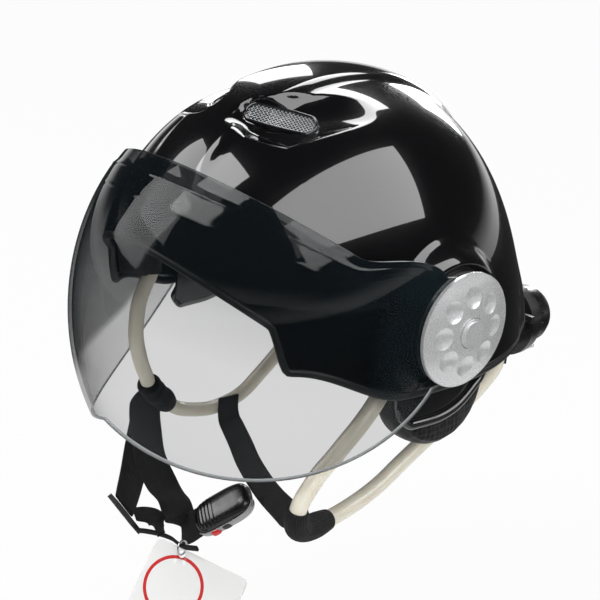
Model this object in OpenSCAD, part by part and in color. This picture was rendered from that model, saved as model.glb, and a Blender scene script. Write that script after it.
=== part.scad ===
// Open-face paramotor helmet with a hinged smoke visor, a rear fit dial, ear pieces, tubes and straps.
// Millimetres. +Z is up, the face looks along -Y, +X is the wearer's left.
// The origin is the middle of the visor's hinge axis.

/* [Shell] */
// Half width of the shell at its side bosses
shell_half_width = 108.5; // [106:0.5:111]
// Reach of the brow in front of the hinge axis
shell_front = 134; // [131:0.5:136]
// Reach of the back behind the hinge axis
shell_rear = 136; // [132:1:140]
// Height of the crown above the hinge axis
crown_height = 117; // [112:1:124]
// Wall of the moulded shell
shell_wall = 3; // [2.4:0.1:4]
// Height of the brow edge above the hinge axis
brow_height = 37; // [34:1:42]
// Depth of the side edge below the hinge axis
side_drop = 32; // [30:0.5:36]
// Depth of the nape edge below the hinge axis
nape_drop = 38; // [32:1:42]
// Height of the raised centre spine
spine_rise = 3; // [1:0.5:4]
// Half width of the centre spine
spine_half = 26; // [20:1:28]
// Reach of the flared nape past the back of the dome
nape_flare = 18; // [12:1:22]
// Radius of the rubber bead along the edge
trim_radius = 2.2; // [1.6:0.1:3]

/* [Vents] */
// Depth of each vent scoop
scoop_depth = 7; // [4:0.5:9]
// Half width of each vent scoop
scoop_half = 22; // [18:1:23]
// Length of the vent mesh
vent_length = 40; // [34:1:44]
// Width of the vent mesh
vent_width = 15; // [12:0.5:17]
// Thickness of the woven vent mesh
vent_mesh_t = 1.2; // [0.8:0.1:2]

/* [Lining] */
// Thickness of the foam liner
liner_t = 15; // [12:0.5:18]
// Thickness of the comfort pads
pad_t = 7; // [5:0.5:9]

/* [Visor] */
// Radius of the visor from the hinge axis at its middle
visor_reach = 152.5; // [151:0.5:156]
// Thickness of the visor sheet
visor_t = 2.2; // [1.6:0.1:3]
// Angle of the visor's top edge above the hinge axis
visor_top = 35; // [31:0.5:38]
// Angle of the visor's bottom edge below the hinge axis at its middle
visor_bottom = 22.5; // [19:0.5:26]
// Radius of the visor's round ends
visor_lobe = 28.5; // [26:0.5:29.5]
// Depth of the crease under the visor's top edge
visor_crease = 1; // [0.4:0.1:1.6]

/* [Side knobs] */
// Radius of each side knob
knob_radius = 31.5; // [30:0.5:33]
// Thickness of each side knob at its rim
knob_rim = 2; // [1.4:0.1:3]
// Rise of each side knob's domed face
knob_dome = 4.5; // [3:0.5:6]
// Diameter of the hinge studs
stud_d = 8; // [6:0.5:9]
// Thickness of the seat ring behind the visor
seat_t = 2.4; // [1.6:0.1:4]
// Radius of the seat ring
seat_radius = 30.5; // [29:0.5:32]
// Number of finger dimples on each side knob
dimples = 8; // [6:1:10]

/* [Rear dial] */
// Radius of the dial's base ring
dial_base_r = 26; // [24:0.5:28]
// Radius of the dial at its base
dial_r = 22.5; // [20:0.5:23.5]
// Length of the dial drum
dial_length = 20; // [17:0.5:24]
// Diameter of the dial spindle
spindle_d = 6; // [5:0.5:7]
// Depth of the dial axis below the hinge axis
dial_drop = 68; // [66:0.5:71]
// Reach of the dial's base ring behind the hinge axis
dial_base_y = 184; // [181:1:187]
// Height of the cradle band
band_height = 15; // [12:0.5:16]
// Thickness of the cradle band
band_t = 2; // [1.6:0.1:2.6]

/* [Ear pieces] */
// Depth of the ear shell's lip below the hinge axis
ear_drop = 50; // [46:0.5:54]
// Wall of the ear shell
ear_wall = 2.4; // [2:0.1:3]
// Radius of the ear shell's rolled lip
lip_radius = 2.8; // [2.4:0.1:3.4]
// Half length of the ear cushion
cushion_half = 42; // [38:1:44]
// Half height of the ear cushion
cushion_height = 34; // [30:1:36]
// Thickness of the ear cushion across the head
cushion_t = 24; // [18:1:25]
// Height adjustment of each ear cushion
ear_travel = 42; // [34:1:43]

/* [Tubes and webbing] */
// Diameter of the cream tubes
tube_d = 9.5; // [8:0.5:10]
// Width of the chin webbing
web_width = 20; // [16:1:22]
// Thickness of the webbing
web_t = 1.8; // [1.4:0.1:2.4]

/* [Buckle and tag] */
// Length of the buckle housing
buckle_length = 42; // [38:1:46]
// Width of the buckle housing
buckle_width = 24; // [22:0.5:28]
// Thickness of the buckle housing
buckle_t = 13; // [12:0.5:16]
// Diameter of the release button
button_d = 9; // [7:0.5:11]
// Width of the hang tag
tag_width = 62; // [50:1:74]
// Length of the hang tag
tag_length = 84; // [70:1:96]
// Thickness of the hang tag
tag_t = 1; // [0.6:0.1:2]

/* [Section] */
// Sub-part to draw

/* [Hidden] */
$fn = 48;
gap = 0.3;
plan_n = 2.06;
dome_p = 0.94;
boss_r = knob_radius + 2;
liner_d = shell_wall + 1.3;
inner_d = liner_d + liner_t;
visor_in = shell_half_width + 0.2 + seat_t + 0.2;
visor_x = visor_in + visor_t;
knob_x = visor_x + gap;
lobe_flat = 35;

function ss(a, b, x) = let (t = min(1, max(0, (x - a) / (b - a)))) t * t * (3 - 2 * t);
function mix(a, b, t) = a + (b - a) * t;
function unit(v) = v / max(norm(v), 1e-9);

// Azimuth f is 0 at the brow, 90 at the wearer's left ear and 180 at the nape; turn gives it for either side.
function turn(f) = let (g = abs(f) % 360) g > 180 ? 360 - g : g;
// Outline of the helmet in plan: distance from the hinge axis at azimuth f, pulled in by d.
function plan(f, d) = let (l = (cos(f) < 0 ? shell_rear : shell_front) - d)
    pow(pow(abs(sin(f)) / (shell_half_width - d), plan_n) + pow(abs(cos(f)) / l, plan_n), -1 / plan_n);
// Height of the widest line, which rises to the brow.
function girth(f) = -32 + 32 * cos(f);
// How the wall tucks in under the brow, and how the shell flares out over the nape.
function tuck(f) = 0.02 + 0.09 * pow(max(0, cos(f)), 2);
function flare(f, z, d) = nape_flare * ss(140, 172, turn(f)) * ss(34, -nape_drop, z) * ss(inner_d, liner_d
    + 1, d);
// Height of the shell's lower edge: an arched brow, a step at each temple, low at the ears and nape.
brow_arch = 28;
temple_step = 23;
function rim(f) = let (g = turn(f)) brow_height - brow_arch * pow(min(1, g / 38),
    1.8) - temple_step * ss(37, 42, g)
    + (temple_step + brow_arch - brow_height - side_drop) * ss(44, 74, g)
        + (side_drop - nape_drop) * ss(120, 165, g);
// Radius of the surface at azimuth f and height z, pulled in by d.
function dome_r(f, z, d) = let (g = girth(f)) plan(f, d) * (z >= g
    ? pow(sin(acos(min(1, pow((z - g) / (crown_height - d - g), 1 / dome_p)))), dome_p)
    : 1 - tuck(f) * pow((g - z) / 50, 2)) + flare(f, z, d);
function polar(f, r, z) = [r * sin(f), -r * cos(f), z];
function wall(f, z, d) = polar(f, dome_r(f, z, d), z);
function upper(f, t, d) = let (z = girth(f) + (crown_height - d - girth(f)) * pow(max(0, cos(t)), dome_p))
    polar(f, plan(f, d) * pow(sin(t), dome_p) + flare(f, z, d), z);
// The crown cap has even rings; below it they spread to meet the edge.
cap_share = 0.4;
cap_angle = 34;
// Point at share s of the way from the crown to an edge at height e.
function dome_point(f, s, e, d) = let (g = girth(f), top = crown_height - d - g,
    last = e >= g ? acos(pow((e - g) / top, 1 / dome_p)) : 90 + 1.2 * (g - e),
    a = s < cap_share ? cap_angle * s / cap_share : mix(cap_angle, last, (s - cap_share) / (1 - cap_share)))
    a <= 90 ? upper(f, a, d) : wall(f, mix(g, e, (a - 90) / (last - 90)), d);
// Height of the dome over a plan point, pulled in by d.
function dome_z(x, y, d) = let (f = atan2(x, -y), t = asin(min(1, pow(norm([x, y]) / plan(f, d), 1 / dome_p))))
    girth(f) + (crown_height - d - girth(f)) * pow(cos(t), dome_p);
// Side wall position at a given y, found by a few steps of azimuth.
function side_f(y, z, d, f, k) = k == 0 ? f
    : side_f(y, z, d, acos(max(-0.99, min(0.99, -y / dome_r(f, z, d)))), k - 1);
function side_x(y, z, d) = let (f = side_f(y, z, d, 90, 9)) dome_r(f, z, d) * sin(f);

// Vent scoop: 0 outside, 1 at its deepest; round at the front and pointed at the back.
scoop_nose = -84;
scoop_tail = -12;
function scoop(p, m) = let (u = (p.y - scoop_nose + m) / (scoop_tail - scoop_nose + 2 * m))
    u <= 0 || u >= 1 || p.z < 40 ? 0 :
    let (w = (scoop_half + m) * pow(1 - u, 0.45) * pow(min(1, u / 0.2), 0.5) + 0.01,
        v = (abs(p.x) - 14 - 34 * pow(u, 0.6)) / w)
    abs(v) >= 1 ? 0 : pow(1 - v * v, 0.8) * ss(0, 0.12, u) * ss(1, 0.45, u);
function spine(p) = ss(spine_half, spine_half - 9, abs(p.x)) * ss(66, 92, p.z);
function pushed(p, amount) = p + unit(p - [0, 0, 12]) * amount;
// The flat round boss that carries the hinge.
function bossed(p) = let (r = norm([p.y, p.z]), k = ss(boss_r + 12, boss_r, r), s = p.x < 0 ? -1 : 1)
    abs(p.x) < 60 || k <= 0 ? p : [s * mix(abs(p.x), shell_half_width, k), p.y, p.z];
function outer_point(p) = bossed(pushed(p, spine_rise * spine(p) - scoop_depth * scoop(p, 0)));
function inner_point(p) = pushed(p, -scoop_depth * scoop(p, 0));
function liner_point(p) = pushed(p, -(scoop_depth + 2) * pow(scoop(p, 8), 0.7));

// Solid made of closed rings of points, with a fan at each end.
module skin(rings) {
    n = len(rings[0]);
    m = len(rings);
    mid = [for (r = [rings[0], rings[m - 1]]) [for (k = [0:2]) let (c = [for (p = r) p[k]])
        c * [for (p = r) 1 / n]]];
    pts = concat([for (r = rings) each r], mid);
    side = [for (i = [0:m - 2]) for (j = [0:n - 1]) let (a = i * n + j, b = i * n + (j + 1) % n)
        each [[a, b, b + n], [a, b + n, a + n]]];
    ends = concat([for (j = [0:n - 1]) [m * n, (j + 1) % n, j]],
        [for (j = [0:n - 1]) [m * n + 1, (m - 1) * n + j, (m - 1) * n + (j + 1) % n]]);
    polyhedron(pts, concat(side, ends), convexity = 8);
}
// Ring whose last section joins its first.
module loop_skin(rings) {
    n = len(rings[0]);
    m = len(rings);
    polyhedron([for (r = rings) each r], [for (i = [0:m - 1]) for (j = [0:n - 1])
        let (a = i * n + j, b = i * n + (j + 1) % n, c = ((i + 1) % m) * n + j, d = ((i + 1) % m) * n
            + (j + 1) % n)
        each [[a, b, d], [a, d, c]]], convexity = 8);
}
// Sheet between two equal grids of points.
module slab(o, i) {
    m = len(o);
    n = len(o[0]);
    k = m * n;
    function q(a, b, c, d) = [[a, b, c], [a, c, d]];
    polyhedron(concat([for (r = o) each r], [for (r = i) each r]), concat(
        [for (a = [0:m - 2]) for (b = [0:n - 2]) let (p = a * n + b) each q(p, p + 1, p + n + 1, p + n)],
        [for (a = [0:m - 2]) for (b = [0:n - 2]) let (p = k + a * n + b) each q(p, p + n, p + n + 1, p + 1)],
        [for (a = [0:m - 2]) let (p = a * n, s = p + n - 1) each concat(q(p, p + n, k + p + n, k + p),
            q(s, k + s, k + s + n, s + n))],
        [for (b = [0:n - 2]) let (s = (m - 1) * n + b) each concat(q(b, k + b, k + b + 1, b + 1),
            q(s, s + 1, k + s + 1, k + s))]), convexity = 8);
}
// Smooth curve through hand-chosen points.
function spline(p, i, t) = let (n = len(p) - 1, a = p[max(0, i - 1)], b = p[i], c = p[min(n, i + 1)],
    d = p[min(n, i + 2)])
    0.5 * (2 * b + (c - a) * t + (2 * a - 5 * b + 4 * c - d) * t * t + (3 * b - a - 3 * c + d) * t * t * t);
function smooth(p, k) = [for (i = [0:len(p) - 2]) for (j = [0:k - 1]) spline(p, i, j / k), p[len(p) - 1]];
function tangent(p, i) = unit(p[min(len(p) - 1, i + 1)] - p[max(0, i - 1)]);
// Frames carried along the curve without twist, from a starting side vector.
function carry(p, s, i) = i >= len(p) ? [] : let (t = tangent(p, i), v = unit(s - t * (s * t)))
    concat([[p[i], v, cross(t, v)]], carry(p, v, i + 1));
module tube(p, d, n) {
    fr = carry(p, [0.3, 0.2, 1], 0);
    skin([for (f = fr) [for (j = [0:n - 1]) f[0]
        + d / 2 * (cos(360 * j / n) * f[1] - sin(360 * j / n) * f[2])]]);
}
// Flat webbing along a curve; each width vector comes from its own list.
module web(p, side, w, t) {
    n = len(p);
    skin([for (i = [0:n - 1]) let (g = tangent(p, i), s0 = side[0] + (side[1] - side[0]) * (i / (n - 1)),
        s = unit(s0 - g * (s0 * g)), v = cross(g, s), a = s * w / 2, b = v * t / 2, c = a * 0.94)
        [p[i] + a, p[i] + c - b, p[i] - c - b, p[i] - a, p[i] - c + b, p[i] + c + b]]);
}

// Shell and lining
shell_cols = 72;
// Bowl with n0 rings outside at depth d0 and n1 inside at depth d1; lift raises its edge at the ears.
module bowl(cols, n0, n1, lift, d0, d1, outer_skin) {
    fs = [for (j = [0:cols - 1]) 360 * j / cols];
    function edge(f) = rim(f) + lift * notch(f);
    skin(concat([for (i = [1:n0]) [for (f = fs) let (p = dome_point(f, i / n0, edge(f), d0)) outer_skin
        ? outer_point(p) : liner_point(p)]],
        [for (i = [n1:-1:1]) [for (f = fs) let (p = dome_point(f, i / n1, edge(f), d1)) outer_skin
            ? inner_point(p) : p]]));
}
// The liner stops higher round the ear pieces.
ear_recess = 44;
function notch(f) = let (g = turn(f)) 1 + (side_drop + ear_recess) * ss(46, 53, g) * ss(150, 143, g);

// Middle and direction of a vent, s is 1 for the left and -1 for the right.
vent_x = 26;
vent_y = -61;
function vent_surface(x, y) = inner_point([x, y, dome_z(x, y, 0)]);
vent_p = vent_surface(vent_x, vent_y);
vent_n = unit(cross(vent_surface(vent_x + 4, vent_y) - vent_surface(vent_x - 4, vent_y),
    vent_surface(vent_x, vent_y + 8) - vent_surface(vent_x, vent_y - 8)));
module at_vent(s) {
    mirror([s < 0 ? 1 : 0, 0, 0]) translate(vent_p) rotate([asin(-vent_n.y), atan2(vent_n.x, vent_n.z), 0])
        rotate([0, 0, -52]) children();
}
module slot(l, w, h) {
    translate([-w / 2, -(l - w) / 2, 0]) cube([w, l - w, h]);
    for (k = [-1, 1]) translate([0, k * (l - w) / 2, 0]) cylinder(d = w, h = h);
}
module outer_shell() color([0.03, 0.03, 0.035]) difference() {
    bowl(shell_cols, 20, 16, 0, 0, shell_wall, true);
    for (s = [-1, 1]) {
        rotate([0, 90 * s, 0]) translate([0, 0, nut_x - 8]) cylinder(d = stud_d + 4, h = 24);
        at_vent(s) translate([0, 0, -12]) slot(vent_length + 0.6, vent_width + 0.6, 24);
    }
}
module edge_trim() color([0.05, 0.05, 0.05])
    loop_skin([for (j = [shell_cols:-1:1]) let (f = 360 * j / shell_cols,
    c = wall(f, rim(f), shell_wall / 2) - [0, 0, trim_radius + 0.1], o = [sin(f), -cos(f), 0])
    [for (k = [0:5]) c + trim_radius * (o * cos(60 * k) - [0, 0, 1] * sin(60 * k))]]);
module foam_liner() color([0.12, 0.12, 0.13]) difference() {
    bowl(48, 15, 12, 1, liner_d, inner_d, false);
    for (s = [-1, 1]) {
        rotate([0, 90 * s, 0]) translate([0, 0, nut_x - 40]) cylinder(d = stud_d + 22, h = 60);
        at_vent(s) translate([0, 0, -40]) slot(vent_length + 6, vent_width + 6, 50);
    }
}
module vent_bezel(s) color([0.04, 0.04, 0.045]) at_vent(s) difference() {
    slot_ring(vent_length, vent_width);
    translate([0, 0, -6]) slot(vent_length - 3.4, vent_width - 3.4, 14);
}
module slot_ring(l, w) { translate([0, 0, -3]) slot(l, w, 6); }
module vent_mesh(s) color([0.75, 0.76, 0.78]) at_vent(s)
    translate([0, 0, 0.4]) slot(vent_length - 3.8, vent_width - 3.8, vent_mesh_t);

// Soft pad on the inside of the liner between two azimuths and two heights.
module wall_pad(f0, f1, z0, z1, m, n) {
    d0 = inner_d + 1;
    o = [for (i = [0:m]) [for (j = [0:n]) wall(mix(f0, f1, i / m), mix(z0, z1, j / n), d0)]];
    g = [for (i = [0:m]) [for (j = [0:n]) let (u = 2 * i / m - 1, v = 2 * j / n - 1)
        wall(mix(f0, f1, i / m), mix(z0, z1, j / n), d0 + 1.2
            + (pad_t - 1.2) * pow(max(0, (1 - pow(abs(u), 4)) * (1 - pow(abs(v), 4))), 0.5))]];
    slab(o, g);
}
module brow_pad() color([0.1, 0.1, 0.1]) wall_pad(-40, 40, brow_height + 3, brow_height + 31, 16, 6);
module side_pad(s) color([0.1, 0.1, 0.1]) mirror([s < 0 ? 1 : 0, 0, 0]) wall_pad(60, 122, ear_recess + 6,
    ear_recess + 30, 12, 6);
module nape_pad() color([0.1, 0.1, 0.1]) wall_pad(150, 210, -30, 2, 12, 6);
module crown_pad() color([0.1, 0.1, 0.1]) {
    d0 = inner_d + 0.7;
    fs = [for (j = [0:35]) 10 * j];
    ts = [6, 13, 19, 24, 27];
    skin(concat([for (t = ts) [for (f = fs) upper(f, t, d0)]],
        [for (i = [4:-1:0]) [for (f = fs) upper(f, ts[i] - 0.5, d0 + 1.2
            + (pad_t - 1.2) * pow(1 - pow(i / 4, 4), 0.5))]]));
}

// Visor
// The sheet is a surface of revolution about the hinge axis: flat discs at the sides, round in front.
function visor_ring(c, d) = [(visor_x - d) * pow(sin(c), 1.06), lobe_flat
    + (visor_reach - d - lobe_flat) * pow(max(0, cos(c)), 1.06)];
function top_angle(c) = visor_top + 28 * ss(62, 90, c);
function low_angle(c) = -visor_bottom - 38 * pow(c / 90, 1.17);
visor_rows = 14;
function arc_point(c, j, d) = let (rr = visor_ring(c, d), v = j / visor_rows, a0 = low_angle(c),
    a1 = top_angle(c),
    a = mix(a0, a1, v), e = (a1 - a) * 2.4, k = cos(c),
    r = rr[1] * (1 - (0.07 * a / 30 + 0.02 * pow(a / 30, 2)) * pow(max(0, k), 0.5)) - visor_crease * ss(11,
        7, e) * k)
    [rr[0], -r * cos(a), r * sin(a)];
function lobe_point(k, j, d) = let (v = j / visor_rows, p = arc_point(90, j, d),
    b = mix(-85, 75, v), q = [visor_x - d, visor_lobe * cos(b), visor_lobe * sin(b)]) mix(p, q, k);
visor_cols = concat([for (k = [3:-1:1]) [1, k / 3, 1]], [for (i = [16:-1:0]) [0, 90 * i / 16, 1]],
    [for (i = [1:16]) [0, 90 * i / 16, -1]], [for (k = [1:3]) [1, k / 3, -1]]);
function visor_point(c, j, d) = let (p = c[0] == 1 ? lobe_point(c[1], j, d) : arc_point(c[1], j, d))
    [p.x * c[2], p.y, p.z];
module visor() color([0.35, 0.38, 0.42, 0.5]) difference() {
    slab([for (c = visor_cols) [for (j = [0:visor_rows]) visor_point(c, j, visor_t)]],
        [for (c = visor_cols) [for (j = [0:visor_rows]) visor_point(c, j, 0)]]);
    for (s = [-1, 1]) rotate([0, 90 * s, 0]) translate([0, 0, 90]) cylinder(d = stud_d + 4.4, h = 40);
}
module along_x(s, x) { rotate([0, 90 * s, 0]) translate([0, 0, x]) children(); }
module seat_ring(s) color([0.03, 0.03, 0.03]) along_x(s, shell_half_width + 0.2) difference() {
    cylinder(r = seat_radius, h = seat_t);
    translate([0, 0, -1]) cylinder(d = stud_d + 4, h = seat_t + 2);
}
module visor_bush(s) color([0.5, 0.5, 0.5]) along_x(s, visor_in) difference() {
    cylinder(d = stud_d + 4, h = visor_t + 0.1);
    translate([0, 0, -1]) cylinder(d = stud_d + 0.3, h = visor_t + 2);
}
nut_x = shell_half_width - shell_wall - 6;
module insert_nut(s) color([0.7, 0.6, 0.35]) difference() {
    union() {
        along_x(s, nut_x) cylinder(d = stud_d + 10, h = 2);
        along_x(s, nut_x) cylinder(d = stud_d + 3.6, h = shell_half_width - nut_x);
    }
    along_x(s, nut_x - 1) cylinder(d = stud_d, h = 20);
}
module hinge_stud(s) color([0.6, 0.6, 0.62]) along_x(s, nut_x - 1) cylinder(d = stud_d, h = knob_x
    + knob_rim + 2 - nut_x + 1);
module side_knob(s) color([0.78, 0.79, 0.8]) along_x(s, knob_x) difference() {
    union() {
        cylinder(r = knob_radius, h = knob_rim);
        translate([0, 0, knob_rim]) intersection() {
            translate([0, 0, knob_dome - dome_ball]) sphere(r = dome_ball, $fn = 96);
            cylinder(r = knob_radius - 0.4, h = knob_dome + 1);
        }
    }
    translate([0, 0, -1]) cylinder(d = stud_d + 0.3, h = knob_rim + 3.2);
    for (k = [0:dimples - 1]) rotate([0, 0, 360 * k / dimples])
        translate([knob_radius * 0.67, 0, knob_rim + knob_dome + 9.2])
        sphere(r = 12.75, $fn = 48);
    translate([0, 0, knob_rim + knob_dome - 1.2]) cylinder(r = 8.5, h = 4);
}
dome_ball = (pow(knob_radius - 0.4, 2) + knob_dome * knob_dome) / (2 * knob_dome);
module knob_cap(s) color([0.7, 0.7, 0.71]) along_x(s, knob_x + knob_rim + knob_dome - 1.2) union() {
    cylinder(r = 8.1, h = 2.2);
    cylinder(r = 6.8, h = 3);
}

// Rear dial, built on the cradle band
dial_z = -dial_drop;
band_start = 139;
band_end_z = -46;
band_rear = 24;
module along_y(y) { translate([0, y, dial_z]) rotate([-90, 0, 0]) children(); }
function band_z(f) = mix(band_end_z, dial_z, ss(142, 172, turn(f)));
function band_r(f, d) = plan(f, shell_wall + trim_radius + 0.6) + band_rear * ss(150, 178, turn(f))
    + 5 * ss(160, 178, turn(f)) - d;
function band_point(f, v, d) = polar(f, band_r(f, d), band_z(f) + v * band_height / 2);
band_y = band_r(180, 0);
cup_front = band_y + gap;
cup_depth = dial_base_y - cup_front;
rack_z = 10.6;
rack_y = cup_front + cup_depth / 2 - 1;
rack_size = [46, 3, 5];
module cradle_band() color([0.06, 0.06, 0.06]) difference() {
    slab([for (i = [0:40]) let (f = mix(band_start, 360 - band_start, i / 40))
        [for (v = [-1, 0, 1]) band_point(f, v, 0)]],
        [for (i = [0:40]) let (f = mix(band_start, 360 - band_start, i / 40))
            [for (v = [-1, 0, 1]) band_point(f, v, band_t)]]);
    along_y(band_y - 20) cylinder(d = spindle_d + 4, h = 40);
}
// A plate inside each end of the band, and the boss that stands it off the shell.
hanger_z = -24;
module cradle_hangers() color([0.06, 0.06, 0.06]) for (s = [0, 1]) mirror([s, 0, 0]) {
    fs = [for (i = [0:4]) band_start + i];
    zs = [band_end_z - band_height / 2 + 2, hanger_z];
    slab([for (f = fs) [for (z = zs) polar(f, band_r(f, band_t + gap), z)]],
        [for (f = fs) [for (z = zs) polar(f, band_r(f, band_t + gap + 1.8), z)]]);
    r = band_r(band_start + 2, band_t + gap + 1);
    rotate([0, 0, band_start + 2 - 90]) translate([r, 0, hanger_z - 4]) rotate([0, 90, 0])
        cylinder(d = 7, h = dome_r(band_start + 2, hanger_z, shell_wall) - r - 1.6, $fn = 32);
}
module dial_housing() color([0.05, 0.05, 0.05]) difference() {
    union() {
        along_y(cup_front) cylinder(r = dial_base_r - 6, h = cup_depth, $fn = 64);
        along_y(dial_base_y - 5) cylinder(r = dial_base_r, h = 5, $fn = 64);
    }
    along_y(cup_front + 2) cylinder(r = 14.5, h = cup_depth);
    along_y(cup_front - 1) cylinder(d = spindle_d + 0.5, h = cup_depth);
    for (k = [-1, 1]) translate([-40, rack_y - rack_size.y / 2 - gap, dial_z
        + k * rack_z - rack_size.z / 2 - gap])
        cube([80, rack_size.y + 2 * gap, rack_size.z + 2 * gap]);
}
module dial_collar() color([0.08, 0.08, 0.08]) along_y(dial_base_y + 0.2) difference() {
    cylinder(r = dial_base_r - 1, h = collar_t, $fn = 64);
    translate([0, 0, -1]) cylinder(d = spindle_d + 4, h = 6);
}
collar_t = 4;
dial_y = dial_base_y + collar_t + 0.5;
module dial_knob() color([0.04, 0.04, 0.045]) along_y(dial_y) difference() {
    rotate_extrude($fn = 72) polygon([[spindle_d / 2 + 0.05, 0], [dial_r, 0], [dial_r, 4], [dial_r - 1.2, 4.6],
        [dial_r - 2.4, dial_length - 5], [dial_r - 5, dial_length], [dial_r - 10, dial_length],
        [dial_r - 11, dial_length - 2], [spindle_d / 2 + 0.05, dial_length - 2]]);
    for (k = [0:17]) rotate([0, 0, 20 * k]) translate([dial_r - 0.2, 0, 4.6])
        cylinder(r = 1.6, h = dial_length, $fn = 16);
}
pinion_r = 8;
pinion_teeth = 14;
rack_pitch = 2 * PI * pinion_r / pinion_teeth;
module dial_spindle() color([0.6, 0.6, 0.62]) along_y(cup_front - 0.8) union() {
    cylinder(d = spindle_d, h = dial_y - cup_front + dial_length - 1.4);
    translate([0, 0, rack_y - cup_front - 1.7]) cylinder(r = pinion_r - 1.1, h = 5, $fn = 40);
    for (k = [0:pinion_teeth - 1]) rotate([0, 0, 360 * k / pinion_teeth])
        translate([pinion_r - 1.1, 0, rack_y - cup_front - 1.7])
        translate([0.9, 0, 0]) cylinder(r = 0.8, h = 5, $fn = 16);
}
// Toothed rack above or below the pinion; each draws its end of the cradle inwards.
module rack(s) color([0.1, 0.1, 0.1]) difference() {
    translate([s * 8 - rack_size.x / 2, rack_y - rack_size.y / 2, dial_z + s * rack_z - rack_size.z / 2])
        cube(rack_size);
    for (k = [-4:7]) translate([s * (k + 0.5) * rack_pitch, rack_y, dial_z
        + s * (rack_z - rack_size.z / 2)]) rotate([90, 0, 0])
        cylinder(r = 1.25, h = rack_size.y + 2, center = true, $fn = 16);
}
module dial_screw() color([0.5, 0.5, 0.52]) along_y(dial_y + dial_length - 1.9) difference() {
    cylinder(d = spindle_d + 4, h = 1.6);
    for (a = [0, 90]) rotate([0, 0, a]) translate([-0.5, -3, 0.8]) cube([1, 6, 2]);
}
// Pale lug with two slots under the drum.
module dial_lug() color([0.6, 0.6, 0.58]) difference() {
    translate([-8, dial_base_y + collar_t + 0.2, dial_z - dial_base_r + 1.2]) cube([16, dial_length - 1, 2]);
    for (k = [-1, 1]) translate([k * 3.4 - 1, dial_base_y + collar_t + 4, dial_z - dial_base_r])
        cube([2, dial_length - 8, 5]);
}

// Ear pieces
ear_d = shell_wall + trim_radius - 0.8;
ear_y0 = -31;
socket_r = tube_d / 2 + 2;
rear_clip = [133, -24];
ear_y1 = -cos(rear_clip[0]) * (dome_r(rear_clip[0], rear_clip[1],
    shell_wall) - gap - socket_r) - socket_r - 3.3;
function ear_end(y) = ss(-8, 8, y - ear_y0) * ss(0, 30, ear_y1 - y);
function lip_z(y) = mix(-side_drop + 2, -ear_drop + 19 * ss(-8, 60, y), pow(ear_end(y), 0.6));
ear_top = -24;
function ear_ring(y) = let (z1 = lip_z(y), n = 5, x0 = side_x(y, -side_drop, ear_d),
    x1 = x0 + mix(2.2 * ss(-38, -48, z1), -4.5, ss(30, 52, y)))
    concat([for (i = [0:n]) let (t = i / n) [mix(x0, x1, t * t * t), y, mix(ear_top, z1, t)]],
        [for (k = [0:5]) let (a = 130 - 50 * k) [x1 + 1 + lip_radius * cos(a), y, z1 - lip_radius * 0.9
            + lip_radius * sin(a)]],
        [for (i = [n:-1:0]) let (t = i / n) [mix(x0, x1, t * t * t) - ear_wall, y, mix(ear_top, z1, t)]]);
module ear_side(s) { mirror([s < 0 ? 1 : 0, 0, 0]) children(); }
module ear_shell(s) color([0.2, 0.2, 0.21]) ear_side(s)
    skin([for (i = [24:-1:0]) ear_ring(mix(ear_y0, ear_y1, i / 24))]);
// Each cushion slides on a track that leans with the wall. Local x = 0 is the outer face of its plate.
cushion_y = 20;
cushion_z = -44;
cushion_in = 12;
cushion_tilt = 14;
ear_lean = 6;
track_t = 2.4;
track_w = 12;
plate_t = 1.8;
plate_x = side_x(cushion_y + track_w / 2, -side_drop, ear_d) - ear_wall - gap - track_t - gap;
// The left cushion rests at the bottom of its travel, the right one at the top.
module ear_frame(s, moves) {
    ear_side(s) translate([plate_x, cushion_y, cushion_z]) rotate([0, -ear_lean, 0])
        translate([0, 0, moves && s < 0 ? ear_travel : 0]) children();
}
track_span = [2, 78];
module ear_track(s) color([0.1, 0.1, 0.1]) ear_frame(s, false) {
    translate([gap, -track_w / 2, track_span[0]]) cube([track_t, track_w, track_span[1] - track_span[0]]);
    for (z = track_span) translate([gap + 0.2, 0, z == track_span[0] ? z + 4 : z - 4]) rotate([0, 90, 0])
        cylinder(d = 7, h = track_post(z), $fn = 32);
}
// The upper post reaches the shell; the lower one stays flush.
function track_post(z) = z == track_span[0] ? track_t - 0.4 : side_x(cushion_y, cushion_z + z - 4,
    shell_wall) - plate_x
    + (z - 4) * sin(ear_lean) - gap - 1.4;
module ear_plate(s) color([0.1, 0.1, 0.1]) ear_frame(s, true) {
    translate([-plate_t, -12, -12]) cube([plate_t, 21, 26]);
    for (k = [-1, 1]) translate([-1, k * (track_w / 2 + gap + 1) - 1, -2]) cube([1 + track_t - 0.2, 2, 14]);
}
function ear_bow(y) = side_x(y, -side_drop, ear_d) - side_x(cushion_y, -side_drop, ear_d);
function cushion_mid(y) = -plate_t - gap - cushion_t / 2 + ear_bow(cushion_y + y);
function tilted(a, b) = [a * cos(cushion_tilt) - b * sin(cushion_tilt), a * sin(cushion_tilt)
    + b * cos(cushion_tilt)];
module ear_cushion(s) color([0.08, 0.08, 0.08]) ear_frame(s, true)
    loop_skin([for (i = [0:31]) let (a = -360 * i / 32,
    c = tilted((cushion_half - cushion_in) * cos(a), (cushion_height - cushion_in) * sin(a)),
        n = tilted(cos(a), sin(a)))
    [for (k = [0:11]) let (b = 30 * k, u = sign(cos(b)) * pow(abs(cos(b)), 0.75),
        w = sign(sin(b)) * pow(abs(sin(b)), 0.75))
        [cushion_mid(c[0] + n[0] * cushion_in * w) + cushion_t / 2 * u, c[0] + n[0] * cushion_in * w,
            c[1] + n[1] * cushion_in * w]]]);
function cloth_point(k, f, d) = let (c = tilted((cushion_half - 2 * cushion_in - 0.5) * k * cos(f),
    (cushion_height - 2 * cushion_in - 0.5) * k * sin(f))) [cushion_mid(c[0]) + d, c[0], c[1]];
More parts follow.
